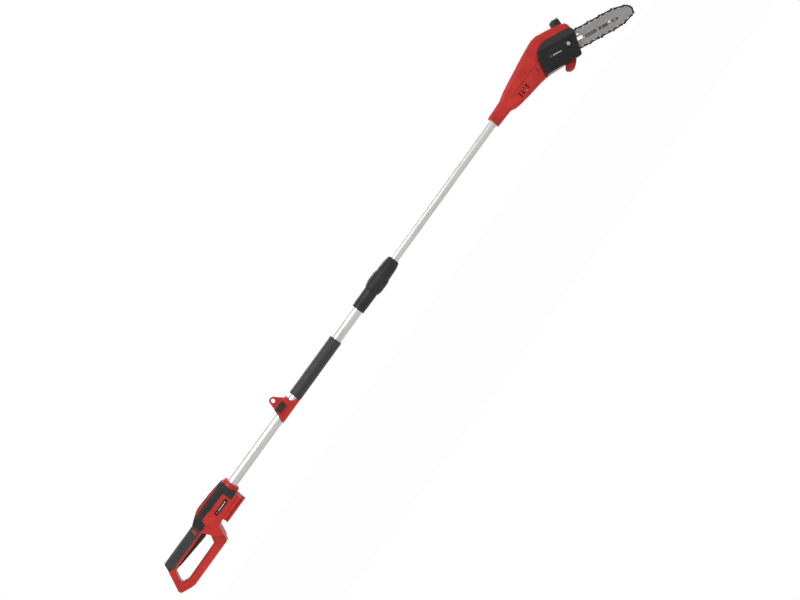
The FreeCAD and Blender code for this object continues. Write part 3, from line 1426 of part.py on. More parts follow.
def chain_cover():
    """The moulded cover over the sprocket, with a bevelled top and a well for the nut."""
    body = new_body("chain_cover", **in_bar_frame(y="-bar_seat_depth - cover_gap"))
    pad(body, draw_outline(new_sketch(body), COVER_OUTLINE), "cover_depth")
    soften(body, "cover_corner", across_at(COVER_OUTLINE[0]))
    soften(body, "4", across_at(*COVER_OUTLINE[1:3]))
    soften(body, "6", across_at(*COVER_OUTLINE[3:5]))
    pocket(body, draw_outline(new_sketch(body, "YZ_Plane"), COVER_BEVEL_FACE))
    soften(body, "1.2", on_plane("Y", "-cover_depth"))
    wide = [("5 - cover_rear", "4 - cover_bottom"), ("5 - cover_rear", "-2"), ("-103", "17"),
            ("-88", "cover_top - 7"), ("-74", "cover_top - 4"), ("5", "cover_top - 4"),
            ("5", "9 - cover_bottom"), ("-18", "9 - cover_bottom"),
            ("-24", "4 - cover_bottom")]
    pocket(body, draw_outline(new_sketch(body), wide), "cover_depth - 11", reverse=True)
    deep = [("9 - cover_rear", "6 - cover_bottom"), ("9 - cover_rear", "-4"), ("-98", "12"),
            ("-80", "15"), ("-14", "15"), ("-17", "6 - cover_bottom")]
    pocket(body, draw_outline(new_sketch(body), deep), "cover_depth - cover_wall",
           reverse=True)
    well = draw_circle(new_sketch(body, out=COVER_WELL), "-stud_back", "0",
                       "nut_across_flats - 1")
    draw_circle(well, "-stud_back", "0", "stud_radius + slide_gap")
    pad(body, well, "cover_depth - 0.1 - (%s)" % COVER_WELL)
    recess = draw_circle(new_sketch(body, out="cover_depth"), "-stud_back", "0",
                         "nut_across_flats - 3.5")
    pocket(body, recess, "8")
    label = new_body("cover_label_plate",
                     **in_bar_frame(y="-bar_seat_depth - cover_gap - cover_depth"))
    face = [("-92", "-12"), ("-52", "-12"), ("-52", "-3"), ("-92", "-3")]
    pad(label, draw_outline(new_sketch(label), face), "0.6")
    soften(label, "1.5", across_at(*face))


def bar_mount():
    """The bar's seat plate with its stud, and the flanged nut that clamps the bar."""
    seat = new_body("bar_mount_plate", **in_bar_frame(y="-bar_seat_depth"))
    base = [("-50", "-17"), ("-6", "-17"), ("-6", "12"), ("-50", "12")]
    pad(seat, draw_outline(new_sketch(seat), base), "1.5")
    soften(seat, "3", across_at(*base))
    boss = draw_circle(new_sketch(seat), "-stud_back", "0", "9")
    pad(seat, boss, "bar_plane - bar_thickness / 2 - bar_seat_depth - 0.1")
    stud = draw_circle(new_sketch(seat), "-stud_back", "0", "stud_radius")
    pad(seat, stud, "cover_depth + cover_gap - 0.5")
    root = draw_circle(new_sketch(seat), "-stud_back", "0", "stud_radius - 0.2")
    pad(seat, root, "3", reverse=True)
    foot = draw_circle(new_sketch(seat, out="-3"), "-stud_back", "0", "7.5")
    pad(seat, foot, "4", reverse=True)
    for lug in ("-28", "-8.5"):
        ear = [(lug, "-16"), (lug + " + 2.3", "-16"), (lug + " + 2.3", "-7"), (lug, "-7")]
        pad(seat, draw_outline(new_sketch(seat), ear), "7.4")
    bore = draw_circle(new_sketch(seat, "YZ_Plane", out="-30"), "-4.3", "-11.5",
                       "2 + running_gap")
    pocket(seat, bore, "26", reverse=True)
    floor = "-bar_seat_depth - cover_gap - cover_depth + 8"
    spot = dict(x=bar_x("-stud_back"), z=bar_z("-stud_back"), **TOWARDS_RIGHT)
    nut = doc.addObject("Part::Prism", "NutHex")
    nut.Polygon = 6
    bind(nut, Circumradius="nut_across_flats / (2 * cos(30))", Height="7")
    place(nut, y=floor + " - 0.05", **spot)
    flange = cylinder("nut_across_flats / 2 + 1.8", "1.5", y=floor + " - 0.05", **spot)
    hole = cylinder("stud_radius + running_gap", "9", y=floor + " + 1", **spot)
    piece(cut(fused([nut, flange], "FlangedNut"), hole), "bar_nut")


def tensioner():
    """The chain tensioner: a screw that draws a pinned block along beside the bar."""
    turned("tensioner_screw",
           [("-29", "0"), ("-29", "2"), ("-5.9", "2"), ("-5.9", "3.2"), ("-3.8", "3.2"),
            ("-3.8", "1"), ("-4.8", "1"), ("-4.8", "0")],
           **in_bar_frame("0", "-11.5", "-bar_seat_depth - 4.3"))
    block = new_body("tensioner_block", **in_bar_frame(y="-bar_seat_depth"))
    sides = [("-18", "-16"), ("-12", "-16"), ("-12", "-7"), ("-18", "-7")]
    pad(block, draw_outline(new_sketch(block, out="1.7"), sides), "6")
    pin = draw_circle(new_sketch(block, out="7"), "-15", "-11.5", "2.4")
    pad(block, pin, "bar_plane + bar_thickness / 2 - bar_seat_depth - 7")
    thread = draw_circle(new_sketch(block, "YZ_Plane"), "-4.3", "-11.5", "2 + running_gap")
    pocket(block, thread)


# ---------------------------------------------------------------- oil system and head fittings

def oil_system():
    """The tank with its filler neck, the seal on the neck and the fluted cap."""
    tank = new_body("oil_tank", **in_bar_frame(y="24.5"))
    sides = [("-49", "14"), ("-20", "14"), ("-20", "38"), ("-24", "41"), ("-49", "44")]
    pad(tank, draw_outline(new_sketch(tank), sides), "33.3")
    neck = new_sketch(tank, out="24.5", x="-cap_back")
    draw_outline(neck, [("0", "30"), ("filler_radius", "30"),
                        ("filler_radius", "cap_foot - 0.6"), ("0", "cap_foot - 0.6")])
    revolve(tank, neck, axis="V_Axis")
    inside = [("-47", "16"), ("-22", "16"), ("-22", "36.5"), ("-25", "39"), ("-47", "41")]
    pocket(tank, draw_outline(new_sketch(tank, out="2"), inside), "29.3", reverse=True)
    throat = new_sketch(tank, out="24.5", x="-cap_back")
    draw_outline(throat, [("0", "34"), ("filler_radius - 2", "34"),
                          ("filler_radius - 2", "cap_foot + 2"), ("0", "cap_foot + 2")])
    revolve(tank, throat, cut=True, axis="V_Axis")
    upright = dict(x=bar_x("-cap_back", "cap_foot"), z=bar_z("-cap_back", "cap_foot"),
                   axis=(0, 1, 0), angle="bar_tilt - 90")
    turned("oil_cap_gasket",
           [("-0.45", "filler_radius - 1.5"), ("-0.45", "cap_radius - 2.5"),
            ("-0.05", "cap_radius - 2.5"), ("-0.05", "filler_radius - 1.5")], **upright)
    cap = turned("oil_cap",
                 [("-8", "0"), ("-8", "filler_radius - 2.3"), ("0", "filler_radius - 2.3"),
                  ("0", "cap_radius - 0.5"), ("1", "cap_radius"),
                  ("cap_height - 2.5", "cap_radius - 0.8"), ("cap_height", "cap_radius - 3"),
                  ("cap_height", "0")], **upright)
    flute = draw_circle(new_sketch(cap, "YZ_Plane", out="2.5"), "cap_radius + 0.6", "0", "1.5")
    first = pocket(cap, flute, "cap_height", reverse=True)
    pattern = cap.newObject("PartDesign::PolarPattern", "Flutes")
    pattern.Originals = [first]
    axis = [f for f in cap.Origin.OriginFeatures if f.Role == "X_Axis"][0]
    pattern.Axis = (axis, [""])
    pattern.Angle = 360
    pattern.Occurrences = 18
    cap.Tip = pattern


def branch_hook():
    body = new_body("branch_hook", **in_bar_frame(y="9"))
    outline = [("-57", "-40.45"), ("-64", "-50"), ("-63", "-57"), ("-54", "-61.5"),
               ("-44", "-60"), ("-34", "-50"), ("-27", "-38.95")]
    pad(body, draw_outline(new_sketch(body), outline), "18")
    soften(body, "4", across_at(*outline[1:6]))
    soften(body, "2", on_plane("Y", "-18"))


def head_screws():
    screws = []
    for x, z in HEAD_SCREWS:
        screws.append(screw("head_rear + " + x, z, "9 + screw_head_height", "18"))
    grouped("head_screws", screws)


# ---------------------------------------------------------------- build, check and write

def build():
    handle_shell("handle_shell_right", -1)
    handle_shell("handle_shell_left", 1)
    handle_screws()
    grip_overmould()
    top_cover()
    collar_and_tube()
    battery_shoe()
    trigger_parts()
    lock_off_parts()
    handle_electrics()
    lock_parts()
    strap_mount()
    pole_leads()
    head_shell("head_shell_right", -1)
    head_shell("head_shell_left", 1)
    head_screws()
    motor()
    output_train()
    gears()
    sprocket()
    guide_bar()
    saw_chain()
    chain_cover()
    bar_mount()
    tensioner()
    oil_system()
    branch_hook()


def check_and_write():
    """Every object must be up to date and every sub-part a valid solid before any is written."""
    doc.recompute()
    faults = [item.Label for item in doc.Objects
              if "Invalid" in item.State or "Error" in item.State]
    for item in pieces:
        shape = item.Shape
        if shape.isNull() or not shape.isValid() or not shape.Solids:
            faults.append(item.Label + " has no valid solid")
    labels = [item.Label for item in pieces]
    faults += ["two sub-parts share a name" for label in set(labels) if labels.count(label) > 1]
    if faults:
        raise RuntimeError("; ".join(faults))
    os.makedirs("parts", exist_ok=True)
    for item in pieces:
        item.Shape.exportStep("parts/%s.step" % item.Label)
    print("%d sub-parts written" % len(pieces))


fill_sheet()
build()
check_and_write()
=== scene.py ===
import json
import math

import bmesh
import bpy
from mathutils import Matrix, Vector
from mathutils.bvhtree import BVHTree


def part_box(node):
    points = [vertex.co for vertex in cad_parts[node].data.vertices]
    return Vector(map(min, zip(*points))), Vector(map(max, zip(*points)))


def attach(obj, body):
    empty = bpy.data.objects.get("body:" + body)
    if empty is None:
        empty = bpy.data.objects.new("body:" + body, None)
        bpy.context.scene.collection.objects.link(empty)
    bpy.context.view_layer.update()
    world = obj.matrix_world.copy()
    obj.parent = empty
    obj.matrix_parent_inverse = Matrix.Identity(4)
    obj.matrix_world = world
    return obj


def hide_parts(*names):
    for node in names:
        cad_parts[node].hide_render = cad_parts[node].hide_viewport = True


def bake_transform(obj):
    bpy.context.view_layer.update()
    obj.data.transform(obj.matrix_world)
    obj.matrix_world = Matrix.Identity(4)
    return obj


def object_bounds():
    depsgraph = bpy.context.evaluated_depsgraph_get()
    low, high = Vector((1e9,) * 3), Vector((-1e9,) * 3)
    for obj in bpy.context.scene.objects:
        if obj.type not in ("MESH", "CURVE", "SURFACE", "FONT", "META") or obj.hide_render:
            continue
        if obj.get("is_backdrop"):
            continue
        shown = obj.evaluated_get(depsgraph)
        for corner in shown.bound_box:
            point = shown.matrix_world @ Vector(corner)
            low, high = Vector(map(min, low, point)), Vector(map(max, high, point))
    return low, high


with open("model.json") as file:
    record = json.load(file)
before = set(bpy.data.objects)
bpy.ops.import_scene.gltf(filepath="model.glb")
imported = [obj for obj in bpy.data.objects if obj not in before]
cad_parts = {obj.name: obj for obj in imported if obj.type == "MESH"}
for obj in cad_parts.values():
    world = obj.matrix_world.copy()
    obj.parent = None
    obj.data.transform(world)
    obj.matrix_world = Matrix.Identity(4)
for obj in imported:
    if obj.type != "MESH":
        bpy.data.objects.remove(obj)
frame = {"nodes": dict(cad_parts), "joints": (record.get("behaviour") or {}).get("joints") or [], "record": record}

# Looks for the telescoping pole saw.  Row frame, metres: X runs along the pole to the saw
# head, Z is the tool's top side and -Y is the side with the chain and its cover.

for leftover in ("Cube", "Light", "Camera"):
    if leftover in bpy.data.objects:
        bpy.data.objects.remove(bpy.data.objects[leftover])

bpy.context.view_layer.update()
MM = 0.001
RIGHT, LEFT = -1, 1                    # the tool's sides, as signs of Y
joints = {joint["name"]: joint for joint in frame["joints"]}

# The guide bar's own frame: along the bar to its nose, and up square to it.
BAR_ALONG = Vector(joints["bar_slide"]["axis"])
BAR_UP = Vector(joints["cap_lift"]["axis"])
NOSE_ALONG = 133 * MM                  # from the bar frame's origin to the nose wheel
BAR_ORIGIN = Vector(joints["nose_spin"]["pos_m"]) - NOSE_ALONG * BAR_ALONG


def bar_spot(along, up, y):
    """A place given in the bar's frame, in millimetres, and along the row's Y in metres."""
    spot = BAR_ORIGIN + along * MM * BAR_ALONG + up * MM * BAR_UP
    spot.y = y
    return spot


# ---------------------------------------------------------------- material parts

class Shader:
    """A small wrapper for building one node material."""

    def __init__(self, name):
        self.material = bpy.data.materials.new(name)
        self.material.use_nodes = True
        self.tree = self.material.node_tree
        self.bsdf = self.tree.nodes["Principled BSDF"]
        self.place = self.add("ShaderNodeTexCoord").outputs["Object"]

    def add(self, kind, **values):
        node = self.tree.nodes.new(kind)
        for key, value in values.items():
            if key in node.inputs:
                node.inputs[key].default_value = value
            else:
                setattr(node, key, value)
        return node

    def link(self, source, target):
        self.tree.links.new(source, target)

    def set(self, **values):
        for key, value in values.items():
            self.bsdf.inputs[key.replace("_", " ")].default_value = value

    def noise(self, scale, detail=4.0, stretch=(1, 1, 1)):
        """A noise value whose grain can be stretched along the frame's axes."""
        mapping = self.add("ShaderNodeMapping")
        mapping.inputs["Scale"].default_value = stretch
        self.link(self.place, mapping.inputs["Vector"])
        noise = self.add("ShaderNodeTexNoise", Scale=scale, Detail=detail)
        self.link(mapping.outputs["Vector"], noise.inputs["Vector"])
        return noise.outputs["Fac"]

    def cells(self, scale):
        voronoi = self.add("ShaderNodeTexVoronoi", Scale=scale)
        self.link(self.place, voronoi.inputs["Vector"])
        return voronoi.outputs["Distance"]

    def spread(self, value, low, high, start=0.3, end=0.7):
        """The value stretched from start..end to low..high."""
        ramp = self.add("ShaderNodeMapRange")
        ramp.inputs["From Min"].default_value = start
        ramp.inputs["From Max"].default_value = end
        ramp.inputs["To Min"].default_value = low
        ramp.inputs["To Max"].default_value = high
        self.link(value, ramp.inputs["Value"])
        return ramp.outputs["Result"]

    def mix(self, factor, first, second):
        """Two colours mixed by a factor; each is a socket or a colour."""
        node = self.add("ShaderNodeMix", data_type="RGBA")
        self.link(factor, node.inputs["Factor"])
        for socket, colour in ((node.inputs[6], first), (node.inputs[7], second)):
            if isinstance(colour, (tuple, list)):
                socket.default_value = (*colour, 1)
            else:
                self.link(colour, socket)
        return node.outputs[2]

    def rising(self, start, end):
        """High where the surface faces the tool's top side."""
        facing = self.add("ShaderNodeTexCoord")
        split = self.add("ShaderNodeSeparateXYZ")
        self.link(facing.outputs["Normal"], split.inputs[0])
        return self.spread(split.outputs["Z"], 0.0, 1.0, start, end)

    def edge_mask(self, radius, low=0.02, high=0.25):
        """High along edges, where the softened normal leaves the true one."""
        bevel = self.add("ShaderNodeBevel", samples=4, Radius=radius)
        geometry = self.add("ShaderNodeNewGeometry")
        dot = self.add("ShaderNodeVectorMath", operation="DOT_PRODUCT")
        self.link(bevel.outputs["Normal"], dot.inputs[0])
        self.link(geometry.outputs["Normal"], dot.inputs[1])
        return self.spread(dot.outputs["Value"], 1.0, 0.0, 1 - high, 1 - low)

    def relief(self, height, depth, edge=0.0):
        """Bump from a height, over edges softened by a radius."""
        bump = self.add("ShaderNodeBump", Strength=1.0, Distance=depth)
        self.link(height, bump.inputs["Height"])
        if edge:
            bevel = self.add("ShaderNodeBevel", samples=4, Radius=edge)
            self.link(bevel.outputs["Normal"], bump.inputs["Normal"])
        self.link(bump.outputs["Normal"], self.bsdf.inputs["Normal"])


def plastic(name, colour, roughness, grain=1800, depth=0.00006, worn=None, edge=0.0006):
    """Moulded plastic: slight mottling, a fine eroded grain and paler, rubbed edges."""
    s = Shader(name)
    dark = tuple(0.84 * c for c in colour)
    pale = tuple(min(1.0, 1.12 * c + 0.004) for c in colour)
    tone = s.mix(s.spread(s.noise(38, 5), 0, 1), dark, pale)
    worn = worn or tuple(min(1.0, 1.5 * c + 0.02) for c in colour)
    rubbed = s.mix(s.spread(s.noise(160, 3), 0, 1, 0.4, 0.75), tone, worn)
    s.link(s.mix(s.edge_mask(1.2 * edge), tone, rubbed), s.bsdf.inputs["Base Color"])
    s.link(s.spread(s.noise(70, 4), roughness - 0.06, roughness + 0.07),
           s.bsdf.inputs["Roughness"])
    s.set(Specular_IOR_Level=0.28)
    s.relief(s.noise(grain, 3), depth, edge)
    return s.material


def red_plastic():
    return plastic("red_shell", (0.46, 0.018, 0.012), 0.36, worn=(0.62, 0.08, 0.055))


def black_plastic():
    return plastic("black_moulding", (0.017, 0.0165, 0.017), 0.40, depth=0.00008,
                   worn=(0.06, 0.06, 0.06))


def soft_rubber():
    """Matt overmould with a fine pebbled skin."""
    s = Shader("soft_overmould")
    tone = s.mix(s.spread(s.noise(55, 4), 0, 1), (0.013, 0.013, 0.014), (0.026, 0.025, 0.025))
    s.link(tone, s.bsdf.inputs["Base Color"])
    s.link(s.spread(s.noise(90, 3), 0.5, 0.64), s.bsdf.inputs["Roughness"])
    s.set(Sheen_Weight=0.15)
    s.relief(s.cells(1100), 0.00012, 0.0008)
    return s.material


def gloss_black():
    """Polished moulding with faint orange peel and paler edges; faces turned to the tool's top side are painted a
    paler grey, a painted highlight standing for light from above.
    """
    s = Shader("gloss_cover")
    tone = s.mix(s.spread(s.noise(60, 5), 0, 1), (0.004, 0.004, 0.0045), (0.008, 0.0075, 0.008))
    # Painted light: faces turned to the tool's top side are painted a paler grey, as if lit from above.
    tone = s.mix(s.rising(0.35, 0.6), tone, (0.042, 0.040, 0.041))
    s.link(s.mix(s.edge_mask(0.0008), tone, (0.035, 0.034, 0.035)), s.bsdf.inputs["Base Color"])
    s.link(s.spread(s.noise(120, 6), 0.16, 0.32), s.bsdf.inputs["Roughness"])
    s.set(Coat_Weight=0.08, Coat_Roughness=0.12, Specular_IOR_Level=0.2)
    s.relief(s.noise(260, 2), 0.00005, 0.0008)
    return s.material


def tube_metal():
    """Satin anodised tube, drawn lengthwise, with fine lines and small rubs."""
    s = Shader("anodised_tube")
    lines = s.noise(900, 3, (0.012, 1, 1))
    tone = s.mix(s.spread(lines, 0, 1), (0.60, 0.585, 0.57), (0.74, 0.725, 0.705))
    rub = s.spread(s.noise(26, 6, (0.5, 1, 1)), 0, 1, 0.56, 0.74)
    s.link(s.mix(rub, tone, (0.55, 0.54, 0.53)), s.bsdf.inputs["Base Color"])
    s.link(s.spread(lines, 0.24, 0.38), s.bsdf.inputs["Roughness"])
    s.set(Metallic=0.92)
    s.relief(lines, 0.00002, 0.0005)
    return s.material


def metal(name, colour, roughness, scale=700, stretch=(1, 1, 1), depth=0.00003, metallic=1.0,
          grime=0.35):
    """Worked metal with tool lines, and oil or grime in blotches."""
    s = Shader(name)
    lines = s.noise(scale, 4, stretch)
    dark = tuple(0.72 * c for c in colour)
    tone = s.mix(s.spread(lines, 0, 1), dark, colour)
    soiled = tuple(grime * c for c in colour)
    s.link(s.mix(s.spread(s.noise(45, 6), 0, 0.6, 0.52, 0.8), tone, soiled),
           s.bsdf.inputs["Base Color"])
    s.link(s.spread(lines, roughness - 0.08, roughness + 0.1), s.bsdf.inputs["Roughness"])
    s.set(Metallic=metallic)
    s.relief(lines, depth, 0.0003)
    return s.material


def circuit_board():
    s = Shader("circuit_board")
    traces = s.spread(s.cells(240), 0, 1, 0.35, 0.4)
    s.link(s.mix(traces, (0.02, 0.16, 0.07), (0.01, 0.09, 0.04)), s.bsdf.inputs["Base Color"])
    s.set(Roughness=0.35, Coat_Weight=0.3)
    s.relief(traces, 0.00005)
    return s.material


def printed(name, colour):
    """Ink or foil on a label, a little uneven."""
    s = Shader(name)
    pale = tuple(0.85 * c for c in colour)
    s.link(s.mix(s.spread(s.noise(400, 3), 0, 1), colour, pale), s.bsdf.inputs["Base Color"])
    s.set(Roughness=0.4)
    s.relief(s.noise(900, 2), 0.00002)
    return s.material


RED = red_plastic()
BLACK = black_plastic()
RUBBER = soft_rubber()
GLOSS = gloss_black()
TUBE = tube_metal()
BUTTON = plastic("button_red", (0.38, 0.028, 0.02), 0.42)
TANK = plastic("tank_natural", (0.62, 0.60, 0.52), 0.35, depth=0.00003)
LABEL = plastic("label_face", (0.010, 0.010, 0.011), 0.28, depth=0.00002, edge=0.0003)
# A darker red used as painted shade, for the shadow along the loop's inner chamfer.
PAINTED_SHADE = plastic("red_painted_shade", (0.20, 0.012, 0.009), 0.5, edge=0.0003)
SEAM = plastic("seam_shadow", (0.10, 0.010, 0.008), 0.7, edge=0.0001)
CABLE = plastic("cable_jacket", (0.014, 0.014, 0.014), 0.5, depth=0.00005, edge=0.0003)
BAR = metal("bar_steel", (0.36, 0.35, 0.345), 0.46, 520, (0.05, 1, 0.4), metallic=0.75,
            grime=0.7)
CHAIN = metal("chain_steel", (0.036, 0.034, 0.033), 0.42, 900, metallic=0.85, grime=0.3)
CUTTER = metal("cutter_chrome", (0.085, 0.082, 0.08), 0.30, 900, metallic=0.9)
DARK_NUT = metal("blackened_nut", (0.10, 0.10, 0.098), 0.36, 700)
STEEL = metal("machined_steel", (0.52, 0.51, 0.50), 0.30, 600)
ZINC = metal("zinc_plate", (0.55, 0.55, 0.56), 0.34, 1200, depth=0.00002)
ALLOY = metal("cast_alloy", (0.42, 0.42, 0.43), 0.55, 350, depth=0.00012)
BRASS = metal("contact_plate", (0.78, 0.60, 0.32), 0.28, 900)
BOARD = circuit_board()
INK = printed("pale_ink", (0.72, 0.72, 0.70))
RED_INK = printed("red_ink", (0.55, 0.04, 0.03))
ETCH = printed("etched_steel", (0.055, 0.053, 0.05))

FINISHES = {
    "red_plastic": RED, "soft_grip": RUBBER, "black_plastic": BLACK, "button_red": BUTTON,
    "gloss_black": GLOSS, "label_face": LABEL, "tube_aluminium": TUBE, "zinc_screw": ZINC,
    "steel": STEEL, "bar_steel": BAR, "chain_steel": CHAIN, "contact_brass": BRASS,
    "board_green": BOARD, "cable_black": CABLE, "gearbox_alloy": ALLOY, "tank_plastic": TANK,
    "seal_rubber": RUBBER,
}
# Nodes whose finish differs from that of their slot.
OWN_FINISHES = {"chain_cutters": CUTTER, "bar_nut": DARK_NUT}


def finish_nodes():
    """Give each CAD node the material of its slot in the record."""
    for row in frame["record"]["subparts"]:
        node = frame["nodes"][row["node"]]
        finish = FINISHES[row["material_slot"]]
        finish = OWN_FINISHES.get(row["node"], finish)
        node.data.materials.clear()
        node.data.materials.append(finish)


# ---------------------------------------------------------------- mesh parts

def finished(name, mesh_data, body, material, smooth=True):
    """Turn a bmesh into a piece that rides on a body, or on none yet."""
    bmesh.ops.recalc_face_normals(mesh_data, faces=mesh_data.faces)
    mesh = bpy.data.meshes.new(name)
    mesh_data.to_mesh(mesh)
    mesh_data.free()
    for face in mesh.polygons:
        face.use_smooth = smooth
    mesh.materials.append(material)
    piece = bpy.data.objects.new(name, mesh)
    bpy.context.scene.collection.objects.link(piece)
    if body:
        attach(piece, body)
    return piece


def skin_of(*nodes):
    """The nodes' outer surface, for laying trim on."""
    corners, faces = [], []
    for name in nodes:
        mesh = frame["nodes"][name].data
        base = len(corners)
        corners += [vertex.co.copy() for vertex in mesh.vertices]
        faces += [[base + i for i in face.vertices] for face in mesh.polygons]
    return BVHTree.FromPolygons(corners, faces)


def land(skin, start, direction):
    """Where a ray from outside meets the skin, and the outward normal there, or None."""
    hit, normal, _, _ = skin.ray_cast(Vector(start), Vector(direction))
    if hit is None:
        return None
    return hit, (normal if normal.dot(Vector(direction)) < 0 else -normal)


RIB_SECTION = [(-1.0, -0.4), (-0.85, 0.55), (-0.45, 1.0), (0.45, 1.0), (0.85, 0.55), (1.0, -0.4)]


def add_rib(mesh_data, skin, corners, direction, width, rise, step=2.5 * MM):
    """A rounded strip laid on the skin along a path of corners, closed at both ends."""
    starts = []
    for a, b in zip(corners, corners[1:]):
        a, b = Vector(a), Vector(b)
        count = max(1, round((b - a).length / step))
        starts += [a.lerp(b, i / count) for i in range(count)]
    starts.append(Vector(corners[-1]))
    landed = [spot for spot in (land(skin, start, direction) for start in starts) if spot]
    rings = []
    for i, (spot, normal) in enumerate(landed):
        after = landed[min(i + 1, len(landed) - 1)][0]
        before = landed[max(i - 1, 0)][0]
        across = (after - before).cross(normal).normalized()
        rings.append([mesh_data.verts.new(spot + across * x * width / 2 + normal * z * rise)
                      for x, z in RIB_SECTION])
    count = len(RIB_SECTION)
    for one, two in zip(rings, rings[1:]):
        for i in range(count):
            k = (i + 1) % count
            mesh_data.faces.new((one[i], one[k], two[k], two[i]))
    mesh_data.faces.new(rings[0])
    mesh_data.faces.new(reversed(rings[-1]))


def ribs(name, skin, paths, direction, width, rise, body, material):
    mesh_data = bmesh.new()
    for path in paths:
        add_rib(mesh_data, skin, path, direction, width, rise)
    return finished(name, mesh_data, body, material)


def add_dome(mesh_data, spot, normal, radius, rise, sides=10):
    """A low round button standing on a spot."""
    across = normal.orthogonal().normalized()
    beside = normal.cross(across)
    rings = []
    for share, height in ((1.0, -0.5), (0.92, 0.35), (0.6, 0.85)):
        ring = []
        for i in range(sides):
            angle = 2 * math.pi * i / sides
            out = across * math.cos(angle) + beside * math.sin(angle)
            ring.append(mesh_data.verts.new(spot + out * radius * share
                                            + normal * rise * height))
        rings.append(ring)
    top = mesh_data.verts.new(spot + normal * rise)
    for one, two in zip(rings, rings[1:]):
        for i in range(sides):
            k = (i + 1) % sides
            mesh_data.faces.new((one[i], one[k], two[k], two[i]))
    for i in range(sides):
        mesh_data.faces.new((rings[-1][i], rings[-1][(i + 1) % sides], top))
    mesh_data.faces.new(reversed(rings[0]))


def domes(name, skin, starts, direction, radius, rise, body, material):
    mesh_data = bmesh.new()
    for start in starts:
        spot = land(skin, start, direction)
        if spot:
            add_dome(mesh_data, *spot, radius, rise)
    return finished(name, mesh_data, body, material)


def rounded_outline(low, high, radius, steps=5):
    """Corners of a rounded rectangle between two opposite corners, in a plane."""
    outline = []
    centres = [(high[0] - radius, high[1] - radius, 0), (low[0] + radius, high[1] - radius, 1),
               (low[0] + radius, low[1] + radius, 2), (high[0] - radius, low[1] + radius, 3)]
    for x, z, quarter in centres:
        for i in range(steps + 1):
            angle = math.pi / 2 * (quarter + i / steps)
            outline.append((x + radius * math.cos(angle), z + radius * math.sin(angle)))
    return outline


def add_plate(mesh_data, outline, to_place, depth):
    """A thin plate with a softened rim; to_place turns plane corners and a height into a spot."""
    centre = [sum(c[k] for c in outline) / len(outline) for k in (0, 1)]
    rings = []
    for height, inset in ((-0.6, 1.0), (0.6, 1.0), (1.0, 0.985)):
        rings.append([mesh_data.verts.new(to_place(centre[0] + (x - centre[0]) * inset,
                                                   centre[1] + (z - centre[1]) * inset,
                                                   height * depth)) for x, z in outline])
    count = len(outline)
    for one, two in zip(rings, rings[1:]):
        for i in range(count):
            k = (i + 1) % count
            mesh_data.faces.new((one[i], one[k], two[k], two[i]))
    mesh_data.faces.new(rings[-1])
    mesh_data.faces.new(reversed(rings[0]))


def plates(name, outlines, to_place, depth, body, material):
    mesh_data = bmesh.new()
    for outline in outlines:
        add_plate(mesh_data, outline, to_place, depth)
    return finished(name, mesh_data, body, material, smooth=False)


def ring_points(radius, count):
    return [(radius * math.cos(2 * math.pi * i / count), radius * math.sin(2 * math.pi * i / count))
            for i in range(count)]


def add_hoop(mesh_data, centre, axis, radius, thickness, sides=64, around=10):
    """A round bead about an axis."""
    across = axis.orthogonal().normalized()
    beside = axis.cross(across)
    rings = []
    for out_x, out_z in ring_points(1.0, sides):
        out = across * out_x + beside * out_z
        rings.append([mesh_data.verts.new(centre + out * (radius + x) + axis * z)
                      for x, z in ring_points(thickness, around)])
    for i in range(sides):
        one, two = rings[i], rings[(i + 1) % sides]
        for j in range(around):
            k = (j + 1) % around
            mesh_data.faces.new((one[j], one[k], two[k], two[j]))


def coil(name, start, axis, length, turns, radius, wire, body, material, closed=1.0):
    """A helical spring or curled lead, its end turns lying flat and its ends capped."""
    across = axis.orthogonal().normalized()
    beside = axis.cross(across)
    steps = int(turns * 20)
    centres = []
    for i in range(steps + 1):
        share = i / steps
        turn = turns * share
        low, high = min(turn, closed), max(turn - (turns - closed), 0.0)
        even = (turn - low - high) / max(turns - 2 * closed, 1e-6)
        rise = wire * 2 * (low + high) + even * (length - 4 * wire * closed)
        angle = 2 * math.pi * turn
        out = across * math.cos(angle) + beside * math.sin(angle)
        centres.append(start + axis * rise + out * radius)
    mesh_data = bmesh.new()
    rings = []
    for i, centre in enumerate(centres):
        along = (centres[min(i + 1, steps)] - centres[max(i - 1, 0)]).normalized()
        side = along.cross(axis).normalized()
        over = side.cross(along)
        rings.append([mesh_data.verts.new(centre + side * x + over * z)
                      for x, z in ring_points(wire, 8)])
    for one, two in zip(rings, rings[1:]):
        for j in range(8):
            k = (j + 1) % 8
            mesh_data.faces.new((one[j], one[k], two[k], two[j]))
    mesh_data.faces.new(rings[0])
    mesh_data.faces.new(reversed(rings[-1]))
    return finished(name, mesh_data, body, material)


# ---------------------------------------------------------------- handle

FAR = 0.2                               # a start for rays well outside the tool


BUTTON_SPAN = (-508 * MM, -499 * MM)   # left bare of studs, beside the lock-off button
# Along the lower inside edge of the handle's loop, in millimetres of X and Z; a painted shade strip is laid along
# it, standing for the shadow on the loop's inner chamfer.
LOOP_EDGE = [(-487.0, -37.5), (-497.0, -54.0), (-610.5, -55.8), (-627.0, -46.5)]


